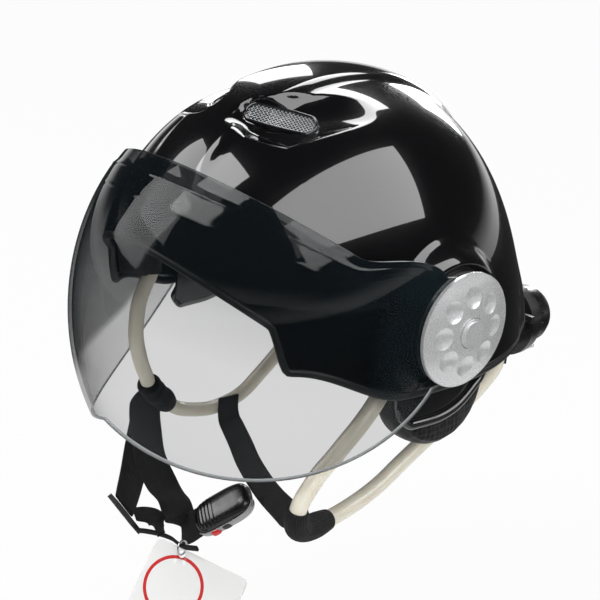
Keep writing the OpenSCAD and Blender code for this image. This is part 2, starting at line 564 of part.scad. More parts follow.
module ear_cloth(s) color([0.1, 0.1, 0.1]) ear_frame(s, true) skin(concat(
    [for (k = [0.5, 1]) [for (j = [0:23]) cloth_point(k, 15 * j, 2)]],
    [for (k = [1, 0.5]) [for (j = [0:23]) cloth_point(k, 15 * j, -1)]]));

// Tubes; each runs from a clip at the temple, down and back to a clip behind the ear. The points were chosen by hand.
front_clip = [70, -12];
far_clip = [55, -6];
clip_depth = 13;
function clip_point(c, s, z) = polar(s * c[0], dome_r(c[0], c[1], shell_wall) - gap - socket_r - 0.4, z);
function tube_path(s, c, route) = concat([clip_point(c, s, c[1] - 2.4),
    clip_point(c, s, c[1] - clip_depth)], route,
    [clip_point(rear_clip, s, rear_clip[1] - clip_depth), clip_point(rear_clip, s, rear_clip[1] - 2.4)]);
// Points chosen by hand widen with the shell, which measured 108.5 mm when they were chosen.
drawn_width = 108.5;
function widened(pts) = [for (p = pts) [p.x * shell_half_width / drawn_width, p.y, p.z]];
// Straps move out fully from 48 mm out, and not at all within 34 mm of the middle.
function spread(pts) = [for (p = pts) let (s = p.x < 0 ? -1 : 1)
    [p.x + s * (shell_half_width - drawn_width) * 0.88 * ss(34, 48, abs(p.x)), p.y, p.z]];
tube_left_pts = widened([[93, -34, -34], [94, -41, -42], [94, -50, -51], [92.5, -57, -59], [90.5, -63, -67],
    [88, -69, -75],
    [87.5, -75, -82], [87, -81, -91], [85, -81, -102], [82, -73, -111], [78, -52, -114], [75, -30, -113],
        [72, -8, -109],
    [70, 10, -102], [69, 26, -95], [69, 42, -87], [71, 56, -77], [75, 68, -64], [79, 75, -50]]);
tube_right_pts = widened([[-87, -64, -27], [-87, -68, -37], [-86.5, -70, -48], [-86.5, -70, -61],
    [-87, -66, -77], [-90, -60, -89],
    [-94, -53, -101], [-95, -43, -112], [-95, -32, -121], [-94, -21, -125], [-92, -6, -127], [-91, 9, -125],
    [-90, 21, -120], [-89, 33, -110], [-88, 45, -99], [-87, 57, -86], [-86, 67, -71], [-83, 74, -55]]);
tube_left_route = smooth(tube_path(1, front_clip, tube_left_pts), 2);
tube_right_route = smooth(tube_path(-1, far_clip, tube_right_pts), 2);
module tube_left() color([0.87, 0.84, 0.74]) tube(tube_left_route, tube_d, 10);
module tube_right() color([0.87, 0.84, 0.74]) tube(tube_right_route, tube_d, 10);
module tube_clips() color([0.08, 0.08, 0.08]) for (c = [[front_clip, 1], [far_clip, -1], [rear_clip, 1],
    [rear_clip, -1]])
    translate(clip_point(c[0], c[1], c[0][1] - clip_depth + 1)) difference() {
        cylinder(r = socket_r, h = clip_depth - 1);
        translate([0, 0, -1]) cylinder(r = tube_d / 2 + 0.3, h = clip_depth - 2);
    }
// Sleeve round a stretch of tube, between two of its stations.
module sleeve(route, i0, i1, t) {
    fr = carry(route, [0.3, 0.2, 1], 0);
    function at(i, d, j) = fr[i][0] + d / 2 * (cos(30 * j) * fr[i][1] + sin(30 * j) * fr[i][2]);
    loop_skin([for (j = [0:11]) concat([for (i = [i0:i1]) at(i, tube_d + 2 * t, j)],
        [for (i = [i1:-1:i0]) at(i, tube_d / cos(15) + 0.5, j)])]);
}
module tube_sleeve() color([0.04, 0.04, 0.04]) sleeve(tube_left_route, 18, 24, 2.4);
module tube_wrap() color([0.05, 0.05, 0.05]) sleeve(tube_right_route, 15, 19, 3);

// Webbing; the points were chosen by hand
chin_pts = spread([[-96, -56, -119], [-91, -58, -129], [-81, -61, -144], [-66, -62, -155], [-50, -63, -161],
    [-40, -66, -166],
    [-33, -68.5, -168.5], [-27.6, -67.9, -167.1], [-23.6, -64.6, -163], [-20, -61.5, -159.3]]);
second_pts = spread([[-103, -50, -120], [-100, -55, -132], [-92, -64, -144], [-82, -74, -154], [-72, -84, -160],
    [-65.7, -90.3, -162.5]]);
upper_loop_pts = spread([[-54, -90, -163], [-48, -85, -162], [-43, -82, -163.5], [-39, -81.4, -167.7],
    [-37, -81.4, -171.7]]);
lower_loop_pts = spread([[-50, -91, -172], [-45, -88, -171], [-38, -83, -171], [-29, -79.5, -171],
    [-18, -79, -171],
    [-8, -75, -169]]);
cross_pts = widened([[-84.8, 4, -118], [-84.8, 4, -128], [-83, 4, -134], [-78, 3, -137], [-62, -2, -142],
    [-42, -11, -144], [-18, -20, -145],
    [4, -30, -141],
    [26, -41, -134], [46, -53, -125], [60, -62, -118], [73, -70, -110]]);
module chin_strap() color([0.04, 0.04, 0.04])
    web(smooth(chin_pts, 2), [[0.3, 0.9, 0.1], [0.8, -0.39, -0.45]], web_width, web_t);
module strap_second() color([0.04, 0.04, 0.04]) web(smooth(second_pts, 2),
    [[0.2, 0.9, -0.2], [0.17, 0.52, -0.84]], web_width, web_t);
module strap_loops() color([0.04, 0.04, 0.04]) {
    web(smooth(upper_loop_pts, 2), [[0.2, 0.6, -0.7], [0.6, -0.6, -0.2]], web_width * 0.6, web_t);
    web(smooth(lower_loop_pts, 2), [[0.2, 0.6, -0.7], [0.2, 0.5, -0.8]], web_width * 0.2, web_t);
}
module cross_strap() color([0.04, 0.04, 0.04]) web(smooth(cross_pts, 2), [[0.07, 0.98, 0.13], [0.1, 0.8, 0.5]],
    web_width * 0.8, web_t);
// Three-bar slider on the second strap
slider_at = spread([[-59.4, -93.7, -164]])[0];
module strap_slider() color([0.05, 0.05, 0.05]) translate(slider_at) multmatrix(slider_turn) difference() {
    cube([13, web_width + 8, 3], center = true);
    for (k = [-1, 1]) translate([k * 3, 0, 0]) cube([3.4, web_width + 2, 6], center = true);
}
slider_long = unit([0.17, 0.52, -0.84]);
slider_short = unit(cross(slider_long, [0, 0.4, 1]));
slider_face = cross(slider_short, slider_long);
slider_turn = [for (k = [0:2]) [slider_short[k], slider_long[k], slider_face[k], 0]];

// Buckle: local x along the housing, y across it, z through its thickness
buckle_at = [-11, -54, -150];
buckle_turn = [35, -38.5, 40];
module at_buckle() { translate(buckle_at) rotate(buckle_turn) children(); }
module pod(l, w, t, r) {
    hull() for (x = [-1, 1], y = [-1, 1]) translate([x * (l / 2 - r), y * (w / 2 - r), 0]) {
        cylinder(r = r, h = t - 3, center = true, $fn = 32);
        cylinder(r = r - 1.5, h = t, center = true, $fn = 32);
    }
}
button_x = -buckle_length / 2 + 11;
module buckle_housing() color([0.03, 0.03, 0.03]) at_buckle() difference() {
    pod(buckle_length, buckle_width, buckle_t, 8);
    translate([button_x, 0, 0]) rotate([90, 0, 0]) cylinder(d = button_d + 0.6, h = buckle_width);
    translate([-buckle_length, -10.5, -1.7]) cube([buckle_length - 8, 21, 3.4]);
}
module buckle_cover() color([0.7, 0.7, 0.71]) at_buckle() difference() {
    translate([button_x - 7, -buckle_width / 2 - 1.8, -buckle_t / 2 + 1])
        cube([buckle_length - 16, 1.5, buckle_t - 5]);
    translate([button_x, 0, 0]) rotate([90, 0, 0]) cylinder(d = button_d + 0.6, h = buckle_width);
}
module release_button() color([0.8, 0.05, 0.04]) at_buckle() translate([button_x, 0, 0]) rotate([90, 0, 0])
    translate([0, 0, buckle_width / 2 - 7]) cylinder(d = button_d, h = 11);
// Split ring on the lower loop, and the blank tag that hangs from it; the tag's tie passes through its hole
ring_at = [-18, -79, -172];
module tag_ring() color([0.75, 0.75, 0.76]) translate(ring_at) rotate([0, 82, 18]) rotate_extrude($fn = 40)
    translate([4.4, 0]) circle(d = 1.2, $fn = 16);
tag_top = ring_at - [0, 0, 4.6];
tag_hole = [18, 3.1];
tag_across = unit([0.82, 0.51, -0.25]);
tag_down = unit(cross(tag_across, cross([0.1, -0.56, -0.82], tag_across)));
tag_face = cross(tag_down, tag_across);
tag_turn = [for (k = [0:2]) [tag_across[k], -tag_down[k], tag_face[k], 0]];
module at_tag() { translate(tag_top) multmatrix(tag_turn) children(); }
module hang_tag() color([0.95, 0.95, 0.94]) at_tag() difference() {
    translate([-tag_hole.x, tag_hole.y - tag_length, -tag_t / 2]) cube([tag_width, tag_length, tag_t]);
    cylinder(d = 4.4, h = 6, center = true);
}

outer_shell();
edge_trim();
foam_liner();
vent_bezel(1);  // vent_bezel_left
vent_bezel(-1);  // vent_bezel_right
vent_mesh(1);  // vent_mesh_left
vent_mesh(-1);  // vent_mesh_right
brow_pad();
crown_pad();
nape_pad();
side_pad(1);  // side_pad_left
side_pad(-1);  // side_pad_right
visor();
visor_bush(1);  // visor_bush_left
visor_bush(-1);  // visor_bush_right
seat_ring(1);  // seat_ring_left
seat_ring(-1);  // seat_ring_right
insert_nut(1);  // insert_nut_left
insert_nut(-1);  // insert_nut_right
hinge_stud(1);  // hinge_stud_left
hinge_stud(-1);  // hinge_stud_right
side_knob(1);  // side_knob_left
side_knob(-1);  // side_knob_right
knob_cap(1);  // knob_cap_left
knob_cap(-1);  // knob_cap_right
cradle_band();
cradle_hangers();
dial_housing();
dial_collar();
dial_knob();
dial_spindle();
dial_screw();
dial_lug();
rack(1);  // rack_left
rack(-1);  // rack_right
ear_shell(1);  // ear_shell_left
ear_shell(-1);  // ear_shell_right
ear_track(1);  // ear_track_left
ear_track(-1);  // ear_track_right
ear_plate(1);  // ear_plate_left
ear_plate(-1);  // ear_plate_right
ear_cushion(1);  // ear_cushion_left
ear_cushion(-1);  // ear_cushion_right
ear_cloth(1);  // ear_cloth_left
ear_cloth(-1);  // ear_cloth_right
tube_left();
tube_right();
tube_clips();
tube_sleeve();
tube_wrap();
chin_strap();
strap_second();
strap_slider();
strap_loops();
cross_strap();
buckle_housing();
buckle_cover();
release_button();
tag_ring();
hang_tag();
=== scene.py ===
"""Looks of an open-face paramotor helmet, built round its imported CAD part.

Millimetres, in the part's own frame: +Z up, the face along -Y, +X the wearer's left.
An azimuth is 0 at the brow, 90 at the wearer's left ear and 180 at the nape.
"""

import bpy
import numpy as np
from mathutils import Matrix, Vector

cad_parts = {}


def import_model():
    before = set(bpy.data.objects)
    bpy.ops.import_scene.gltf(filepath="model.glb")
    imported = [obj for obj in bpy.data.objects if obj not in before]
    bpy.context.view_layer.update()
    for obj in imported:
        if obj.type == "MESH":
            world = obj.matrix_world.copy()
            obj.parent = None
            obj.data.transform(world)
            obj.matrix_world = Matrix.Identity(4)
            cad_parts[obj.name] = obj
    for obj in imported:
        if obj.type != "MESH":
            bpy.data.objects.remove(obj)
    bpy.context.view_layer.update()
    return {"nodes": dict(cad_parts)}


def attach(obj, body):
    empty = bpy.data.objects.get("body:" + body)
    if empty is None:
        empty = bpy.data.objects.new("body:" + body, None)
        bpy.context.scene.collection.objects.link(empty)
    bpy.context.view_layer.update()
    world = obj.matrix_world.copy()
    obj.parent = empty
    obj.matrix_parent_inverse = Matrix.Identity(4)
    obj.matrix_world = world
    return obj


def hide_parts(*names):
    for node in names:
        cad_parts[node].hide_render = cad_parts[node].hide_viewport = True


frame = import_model()
nodes = frame["nodes"]
scene = bpy.context.scene

# Sizes in mm, a turn in degrees and two powers of the outline
HALF_WIDTH, FRONT, REAR, CROWN = 108.5, 134.0, 136.0, 117.0
WALL, BROW, SIDE, NAPE = 3.0, 37.0, 32.0, 38.0
BROW_ARCH, TEMPLE_STEP, NAPE_FLARE = 28.0, 23.0, 18.0
TRIM = 2.2
LINER = WALL + 1.3
INNER = LINER + 15.0
PAD, PAD_EDGE = 7.0, 1.2
GAP, SEAT_GAP, SEAT_T = 0.3, 0.2, 2.4
TUBE = 9.5
WEB, WEB_T = 20.0, 1.8
PLAN_POWER, DOME_POWER = 2.06, 0.94
SPINE_RISE = 3.0
SCOOP_FRONT, SCOOP_LENGTH, SCOOP_WIDTH, SCOOP_DEPTH = -84.0, 72.0, 22.0, 7.0
VENT_X, VENT_Y, VENT_TURN = 26.0, -61.0, -52.0
VENT_LENGTH, VENT_WIDTH = 40.0, 15.0
BOSS_FLAT, BOSS_EDGE = 33.5, 45.5
EAR_TRAVEL = 42.0
FLOOR = -262.0


# Small mathematics
def ease(a, b, x):
    """Smooth step 3t^2 - 2t^3, with t the share of the way from a to b, kept from 0 to 1."""
    t = np.clip((np.asarray(x, float) - a) / (b - a), 0, 1)
    return t * t * (3 - 2 * t)


def mix(a, b, t):
    """Straight blend from a to b by share t."""
    return a + (b - a) * t


def sin(a):
    return np.sin(np.radians(a))


def cos(a):
    return np.cos(np.radians(a))


def unit(v):
    """Vectors scaled to length 1 along the last axis."""
    v = np.asarray(v, float)
    return v / np.maximum(np.linalg.norm(v, axis=-1, keepdims=True), 1e-9)


def signed_power(x, p):
    """Power of the size of x that keeps its sign."""
    return np.sign(x) * np.abs(x) ** p


def bell(x, middle, width):
    """Bump of height 1: exp(-((x - middle) / width)^2)."""
    return np.exp(-(((x - middle) / width) ** 2))


def coords(*parts):
    """Points put together from their coordinates."""
    return np.stack(np.broadcast_arrays(*parts), -1)


def turns(n):
    """n angles evenly round a circle."""
    return np.arange(n) * 360.0 / n


def about(k, a):
    """Rotation by a radians about axis k."""
    m = np.eye(3)
    i, j = (k + 1) % 3, (k + 2) % 3
    m[i, i] = m[j, j] = np.cos(a)
    m[i, j], m[j, i] = -np.sin(a), np.sin(a)
    return m


def spread(x, y, u, v):
    """Offsets x u + y v: x and y one for each point of a section, u and v one for each ring."""
    return x[None, :, None] * u[:, None] + y[None, :, None] * v[:, None]


# Meshes
def make_mesh(name, points, quads, material, uvs=None, tris=(), smooth=True):
    """Mesh from points in mm, quads and tris as index rows, and one UV per point.

    A closed mesh is turned to face outwards by the sign of its volume, the sum of a . (b x c) / 6.
    """
    points = np.asarray(points, float).reshape(-1, 3)
    quads = np.asarray(quads, int).reshape(-1, 4)
    tris = np.asarray(tris, int).reshape(-1, 3)
    corners = np.concatenate([quads[:, [0, 1, 2]], quads[:, [0, 2, 3]], tris])
    p = points - points.mean(0)
    a, b, c = (p[corners[:, k]] for k in range(3))
    if (a * np.cross(b, c)).sum() < 0:
        quads, tris = quads[:, ::-1], tris[:, ::-1]
    loops = np.concatenate([quads.ravel(), tris.ravel()])
    starts = np.concatenate([np.arange(len(quads)) * 4, len(quads) * 4 + np.arange(len(tris)) * 3])
    mesh = bpy.data.meshes.new(name)
    mesh.vertices.add(len(points))
    mesh.vertices.foreach_set("co", (points * 0.001).astype(np.float32).ravel())
    mesh.loops.add(len(loops))
    mesh.loops.foreach_set("vertex_index", loops.astype(np.int32))
    mesh.polygons.add(len(starts))
    mesh.polygons.foreach_set("loop_start", starts.astype(np.int32))
    mesh.update(calc_edges=True)
    mesh.validate()
    if uvs is not None:
        layer = mesh.uv_layers.new(name="UVMap")
        layer.data.foreach_set("uv", np.asarray(uvs, np.float32).reshape(-1, 2)[loops].ravel())
    mesh.polygons.foreach_set("use_smooth", np.full(len(mesh.polygons), smooth))
    piece = bpy.data.objects.new(name, mesh)
    scene.collection.objects.link(piece)
    mesh.materials.append(material)
    return piece


def ring_quads(m, n, base=0, joined=False):
    """Quads between m rings of n points, each ring closed; joined also links the last ring to the first."""
    i = np.arange(m if joined else m - 1)[:, None]
    j = np.arange(n)[None, :]
    a, b = i * n + j, i * n + (j + 1) % n
    c, d = ((i + 1) % m) * n + (j + 1) % n, ((i + 1) % m) * n + j
    return np.stack([a, b, c, d], -1).reshape(-1, 4) + base


def grid_quads(m, n, base=0):
    """Quads of an open grid of m rows and n columns."""
    i, j = np.arange(m - 1)[:, None], np.arange(n - 1)[None, :]
    a = i * n + j
    return np.stack([a, a + 1, a + n + 1, a + n], -1).reshape(-1, 4) + base


def skin(name, rings, material, uvs=None):
    """Closed body: rings (m, n, 3) joined one to the next, with a fan at each end."""
    m, n = rings.shape[:2]
    points = np.concatenate([rings.reshape(-1, 3), rings[0].mean(0)[None], rings[-1].mean(0)[None]])
    j = np.arange(n)
    k = (j + 1) % n
    first = np.stack([np.full(n, m * n), k, j], 1)
    last = np.stack([np.full(n, m * n + 1), (m - 1) * n + j, (m - 1) * n + k], 1)
    if uvs is not None:
        uvs = np.concatenate([uvs.reshape(-1, 2), uvs[0].mean(0)[None], uvs[-1].mean(0)[None]])
    return make_mesh(name, points, ring_quads(m, n), material, uvs, np.concatenate([first, last]))


def torus(name, rings, material, uvs=None):
    """Closed loop: rings (m, n, 3) joined one to the next and the last to the first."""
    return make_mesh(name, rings, ring_quads(*rings.shape[:2], joined=True), material, uvs)


def sheet(name, front, back, material, uvs=None):
    """Sheet between two equal grids (m, n, 3), closed round its edge by a strip of quads."""
    m, n = front.shape[:2]
    k = m * n
    index = np.arange(k).reshape(m, n)
    edge = np.concatenate([index[0, :-1], index[:-1, -1], index[-1, :0:-1], index[:0:-1, 0]])
    nxt = np.roll(edge, -1)
    walls = np.stack([edge, nxt, nxt + k, edge + k], 1)
    quads = np.concatenate([grid_quads(m, n)[:, ::-1], grid_quads(m, n, k), walls])
    if uvs is not None:
        uvs = np.concatenate([uvs.reshape(-1, 2)] * 2)
    points = np.concatenate([front.reshape(-1, 3), back.reshape(-1, 3)])
    return make_mesh(name, points, quads, material, uvs)


def mirrored(points, side="right"):
    """The same points on the wearer's right, or left alone for the left side."""
    return points if side == "left" else points * np.array([-1.0, 1.0, 1.0])


def curve(points, steps):
    """Catmull-Rom curve through the points, cut in steps pieces between each pair.

    Each piece is half of 2b + (c-a)t + (2a-5b+4c-d)t^2 + (3b-a-3c+d)t^3.
    """
    p = np.asarray(points, float)
    a = np.concatenate([p[:1], p[:-2]])
    b, c = p[:-1], p[1:]
    d = np.concatenate([p[2:], p[-1:]])
    t = (np.arange(steps) / steps)[None, :, None]
    a, b, c, d = (q[:, None] for q in (a, b, c, d))
    out = 0.5 * (2 * b + (c - a) * t + (2 * a - 5 * b + 4 * c - d) * t**2 + (3 * b - a - 3 * c + d) * t**3)
    return np.concatenate([out.reshape(-1, 3), p[-1:]])


def lengths(path):
    """Distance along a path at each of its points."""
    return np.concatenate([[0], np.cumsum(np.linalg.norm(np.diff(path, axis=0), axis=1))])


def pipe(name, path, radius, material, sides=24):
    """Round pipe: each ring is path + radius (cos b u + sin b v).

    u is the X axis less its part along the path, and v is square to both. UV is length along and the turn, in cm.
    """
    tangent = unit(np.gradient(path, axis=0))
    u = unit(np.array([1.0, 0, 0]) - tangent * tangent[:, :1])
    v = np.cross(tangent, u)
    b = turns(sides)
    r = np.broadcast_to(np.asarray(radius, float).reshape(-1, 1), (len(path), sides))[..., None]
    rings = path[:, None] + r * spread(cos(b), sin(b), u, v)
    uvs = coords(lengths(path)[:, None] / 10, b[None] / 360 * 3)
    return skin(name, rings, material, uvs)


def ribbon(name, points, side0, side1, width, replaced, narrow):
    """Webbing: each section is a box with rounded sides, x = w/2 sgn(cos)|cos|^.3 and y = t/2 sgn(sin)|sin|^.6.

    The width vector goes evenly from side0 to side1. The first stretch, narrow long, widens from two fifths.
    UV is length and width in cm.
    """
    path = curve(points, 10)
    t = unit(np.gradient(path, axis=0))
    share = (np.arange(len(path)) / (len(path) - 1))[:, None]
    s = mix(np.asarray(side0, float), np.asarray(side1, float), share)
    s = unit(s - t * (s * t).sum(1, keepdims=True))
    v = np.cross(t, s)
    b = turns(28)
    wide = mix(0.4, 1.0, ease(-0.01, narrow, lengths(path)))[:, None]
    across = signed_power(cos(b), 0.3)[None] * wide * width / 2
    up = signed_power(sin(b), 0.6)[None] * WEB_T / 2
    rings = path[:, None] + across[..., None] * s[:, None] + up[..., None] * v[:, None]
    uvs = coords(lengths(path)[:, None] / 10, across / 10)
    return on_body(skin(name, rings, STRAP, uvs), "webbing", replaced)


def on_body(piece, slot, *replaced, body="helmet"):
    """Fixes a piece to its body and hides the solids it stands for."""
    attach(piece, body)
    if replaced:
        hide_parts(*replaced)
    return piece


# Materials
class Nodes:
    """A node tree in the making."""

    def __init__(self, tree):
        self.tree = tree

    def put(self, value, socket):
        """Sets an input to a number or a colour, or links another node's output to it."""
        if isinstance(value, bpy.types.NodeSocket):
            self.tree.links.new(value, socket)
        else:
            socket.default_value = value

    def node(self, kind, *inputs, **values):
        """A node with its first inputs set in their order, then its properties and the inputs that are named."""
        made = self.tree.nodes.new(kind)
        for socket, value in zip(made.inputs, inputs):
            self.put(value, socket)
        for key, value in values.items():
            if hasattr(made, key) and key not in made.inputs:
                setattr(made, key, value)
            else:
                self.put(value, made.inputs[key.replace("_", " ")])
        return made

    def sum(self, kind, a, b=0.5, clamp=False):
        """Result of one sum on two values."""
        return self.node("ShaderNodeMath", a, b, operation=kind, use_clamp=clamp).outputs[0]


class Finish(Nodes):
    """A material in the making: its node tree, its shader and short ways to add textures."""

    def __init__(self, name, colour, roughness, **sockets):
        self.material = bpy.data.materials.new(name)
        self.material.use_nodes = True
        super().__init__(self.material.node_tree)
        self.shader = self.tree.nodes["Principled BSDF"]
        for key, value in {"Base Color": (*colour, 1), "Roughness": roughness, **sockets}.items():
            self.put(value, self.shader.inputs[key.replace("_", " ")])

    def place(self, where="Object", scale=(1, 1, 1), turn=(0, 0, 0)):
        """Texture coordinates: Object in metres, or the piece's UV in cm."""
        source = self.node("ShaderNodeTexCoord").outputs[where]
        mapping = self.node("ShaderNodeMapping", Vector=source)
        mapping.inputs["Scale"].default_value = scale
        mapping.inputs["Rotation"].default_value = turn
        return mapping.outputs["Vector"]

    def noise(self, scale, detail, where=None):
        where = self.place() if where is None else where
        return self.node("ShaderNodeTexNoise", Vector=where, Scale=scale, Detail=detail, Roughness=0.55).outputs["Fac"]

    def cells(self, scale, feature="F1", randomness=1.0):
        where = self.place()
        made = self.node("ShaderNodeTexVoronoi", Vector=where, feature=feature, Scale=scale, Randomness=randomness)
        return made.outputs["Distance"]

    def wave(self, where, scale, direction):
        return self.node("ShaderNodeTexWave", Vector=where, bands_direction=direction, Scale=scale).outputs["Fac"]

    def steps(self, factor, *stops):
        """Colour ramp from (place, grey or colour) pairs."""
        ramp = self.node("ShaderNodeValToRGB", factor)
        points = ramp.color_ramp.elements
        while len(points) < len(stops):
            points.new(0.5)
        for point, (place, colour) in zip(points, stops):
            point.position = place
            point.color = (*colour, 1) if isinstance(colour, (tuple, list)) else (colour, colour, colour, 1)
        return ramp.outputs["Color"]

    def colour(self, factor, *stops):
        ramp = self.steps(factor, *stops)
        self.put(ramp, self.shader.inputs["Base Color"])
        return ramp

    def rough(self, factor, *stops):
        self.put(self.steps(factor, *stops), self.shader.inputs["Roughness"])

    def bump(self, height, depth, strength):
        """Bump of the given depth in metres, added to any bump already there."""
        normal = self.shader.inputs["Normal"]
        made = self.node("ShaderNodeBump", Height=height, Strength=strength, Distance=depth)
        if normal.is_linked:
            self.put(normal.links[0].from_socket, made.inputs["Normal"])
        self.put(made.outputs["Normal"], normal)


def gloss(name, colour, roughness=0.08, coat=0.6):
    """Moulded gloss: slow waves in the surface and faint wipe marks in its shine."""
    f = Finish(name, colour, roughness, Coat_Weight=coat, Coat_Roughness=0.03)
    f.rough(f.noise(35, 5), (0.35, roughness * 0.7), (0.7, roughness * 1.8))
    f.bump(f.noise(55, 2), 0.0002, 0.06)
    return f.material


def matt(name, colour, roughness):
    """Moulded plastic with a fine spark-eroded grain."""
    f = Finish(name, colour, roughness)
    f.bump(f.noise(900, 4), 0.0003, 0.25)
    f.rough(f.noise(60, 3), (0.3, roughness * 0.85), (0.75, min(1, roughness * 1.25)))
    return f.material


def metal(name, colour, roughness=0.28):
    """Turned metal: fine drawn lines in its roughness and a slight change of tone."""
    f = Finish(name, colour, roughness, Metallic=1.0)
    streak = f.noise(400, 3, f.place(scale=(1, 1, 40)))
    f.rough(streak, (0.3, roughness * 0.7), (0.75, roughness * 1.5))
    f.colour(f.noise(90, 3), (0.3, tuple(0.85 * c for c in colour)), (0.7, colour))
    return f.material


def shell_lacquer():
    """Deep black under clear lacquer, with the slightest ripple."""
    f = Finish("shell_lacquer", (0.0032, 0.0032, 0.0038), 0.2, IOR=1.45, Specular_IOR_Level=0.06,
               Coat_Weight=1.0, Coat_Roughness=0.025, Coat_IOR=1.5)
    f.rough(f.noise(22, 4), (0.35, 0.16), (0.7, 0.28))
    f.bump(f.noise(28, 2), 0.0004, 0.05)
    return f.material


def knob_lacquer():
    """Pearl silver lacquer: a fine flake shifts the tone and the shine from grain to grain."""
    f = Finish("knob_lacquer", (0.66, 0.665, 0.67), 0.34, Metallic=0.45, Coat_Weight=0.35, Coat_Roughness=0.06)
    flake = f.node("ShaderNodeTexVoronoi", Vector=f.place(), Scale=2600).outputs["Color"]
    split = f.node("ShaderNodeSeparateColor", Color=flake).outputs[0]
    f.colour(split, (0.0, (0.55, 0.555, 0.56)), (0.6, (0.66, 0.665, 0.67)), (1.0, (0.80, 0.805, 0.81)))
    f.rough(split, (0.0, 0.42), (1.0, 0.24))
    f.bump(f.noise(700, 3), 0.0002, 0.12)
    return f.material


def visor_smoke():
    """Smoke sheet. UV runs from edge to edge, -1 to 1, and from the bottom, 0, to the top, 1.

    The share that a face stops is 1 - (1 - F) 2^(-k / c). k rises to the top with the sheet's tint. At both sides,
    over a longer stretch on the wearer's right, k rises further and the tone turns slate: painted shade and a painted
    reflection of the far side of the sheet seen aslant. c is the cosine of the bent ray inside, (1 - sin^2 /
    1.5^2)^.5, and F is the shine, .04 + .96 (1 - cos)^5.
    """
    f = Finish("visor_smoke", (0.006, 0.009, 0.011), 0.025, IOR=1.5, Specular_IOR_Level=0.3)
    split = f.node("ShaderNodeSeparateXYZ", Vector=f.place("UV"))
    along, height = split.outputs["X"], split.outputs["Y"]
    depth = f.steps(height, (0.0, 0.20), (0.45, 0.22), (0.62, 0.34), (0.8, 0.6), (1.0, 0.9))
    across = f.sum("MAXIMUM", f.sum("MULTIPLY", along, -1.0), f.sum("SUBTRACT", along, 0.43))
    # painted shade: extra depth at both sides above the lower band, from further in on the wearer's right
    side = f.sum("MULTIPLY", f.steps(across, (0.29, 0.0), (0.34, 1.0)), f.steps(height, (0.17, 0.0), (0.21, 1.0)))
    # painted shade: more depth again in the upper corners
    painted_corner_shade = f.sum("MULTIPLY", f.steps(across, (0.1, 0.0), (0.27, 1.0)), f.steps(height, (0.72, 0.0), (0.86, 1.0)))
    # the sheet's tint with the painted shade added
    depth = f.sum("ADD", depth, f.sum("ADD", f.sum("MULTIPLY", side, 0.7), f.sum("MULTIPLY", painted_corner_shade, 1.4)))
    # painted reflection: the tone turns slate towards both sides, sooner on the wearer's right
    f.colour(across, (0.28, (0.006, 0.009, 0.011)), (0.36, (0.007, 0.012, 0.014)))
    facing = f.node("ShaderNodeLayerWeight", Blend=0.5).outputs["Facing"]
    square = f.sum("POWER", f.sum("SUBTRACT", 1.0, facing), 2.0)
    bent = f.sum("SQRT", f.sum("ADD", f.sum("MULTIPLY", square, 0.444), 0.556))
    passed = f.sum("POWER", 2.0, f.sum("MULTIPLY", f.sum("DIVIDE", depth, bent), -1.0))
    shine = f.sum("ADD", f.sum("MULTIPLY", f.sum("POWER", facing, 5.0), 0.96), 0.04)
    alpha = f.sum("SUBTRACT", 1.0, f.sum("MULTIPLY", passed, f.sum("SUBTRACT", 1.0, shine)), clamp=True)
    f.put(alpha, f.shader.inputs["Alpha"])
    f.bump(f.noise(16, 2), 0.0003, 0.04)
    return f.material


def rubber():
    """Satin rubber with a fine grain."""
    f = Finish("trim_rubber", (0.012, 0.012, 0.012), 0.42)
    f.bump(f.noise(500, 4), 0.0003, 0.2)
    f.rough(f.noise(40, 3), (0.3, 0.36), (0.7, 0.52))
    return f.material


def cream_tube():
    """Soft cream moulding with a slight mottling and handling marks."""
    f = Finish("cream_tube", (0.74, 0.70, 0.58), 0.36, Coat_Weight=0.25, Coat_Roughness=0.2,
               Subsurface_Weight=0.12, Subsurface_Scale=0.004)
    uv = f.place("UV")
    f.colour(f.noise(0.9, 5, uv), (0.3, (0.72, 0.675, 0.545)), (0.55, (0.80, 0.76, 0.64)), (0.8, (0.83, 0.80, 0.70)))
    f.rough(f.noise(2.5, 4, uv), (0.3, 0.28), (0.7, 0.46))
    f.bump(f.noise(6, 3, uv), 0.0003, 0.08)
    return f.material


def webbing():
    """Woven strap: warp ridges along the length, crossed by weft steps that shift from ridge to ridge. UV in cm."""
    colour = (0.006, 0.006, 0.0065)
    f = Finish("strap_webbing", colour, 0.8, Sheen_Weight=0.04, Sheen_Roughness=0.5, Specular_IOR_Level=0.2)
    uv = f.place("UV")
    warp = f.wave(uv, 3.1, "Y")
    weft = f.wave(f.place("UV", turn=(0, 0, 0.62)), 4.4, "X")
    weave = f.sum("ADD", f.sum("MULTIPLY", warp, 0.6), f.sum("MULTIPLY", weft, 0.5))
    fibre = f.noise(14, 4, f.place("UV", scale=(1, 8, 1)))
    f.bump(weave, 0.0005, 0.8)
    f.bump(fibre, 0.0002, 0.5)
    # painted shade in the weave's low parts and painted highlight on its raised yarns: the colour follows the weave's
    # height
    f.colour(weave, (0.15, tuple(0.35 * c for c in colour)), (0.75, tuple(2.0 * c for c in colour)))
    return f.material


def hook_pile():
    """Hook-and-loop pile: matted short fibres."""
    f = Finish("hook_pile", (0.006, 0.006, 0.007), 0.95,
               Sheen_Weight=0.08, Sheen_Roughness=0.4, Specular_IOR_Level=0.15)
    pile = f.cells(1100)
    f.bump(pile, 0.0008, 0.9)
    f.bump(f.noise(240, 5), 0.0008, 0.6)
    f.colour(pile, (0.1, (0.012, 0.012, 0.013)), (0.7, (0.003, 0.003, 0.003)))
    return f.material


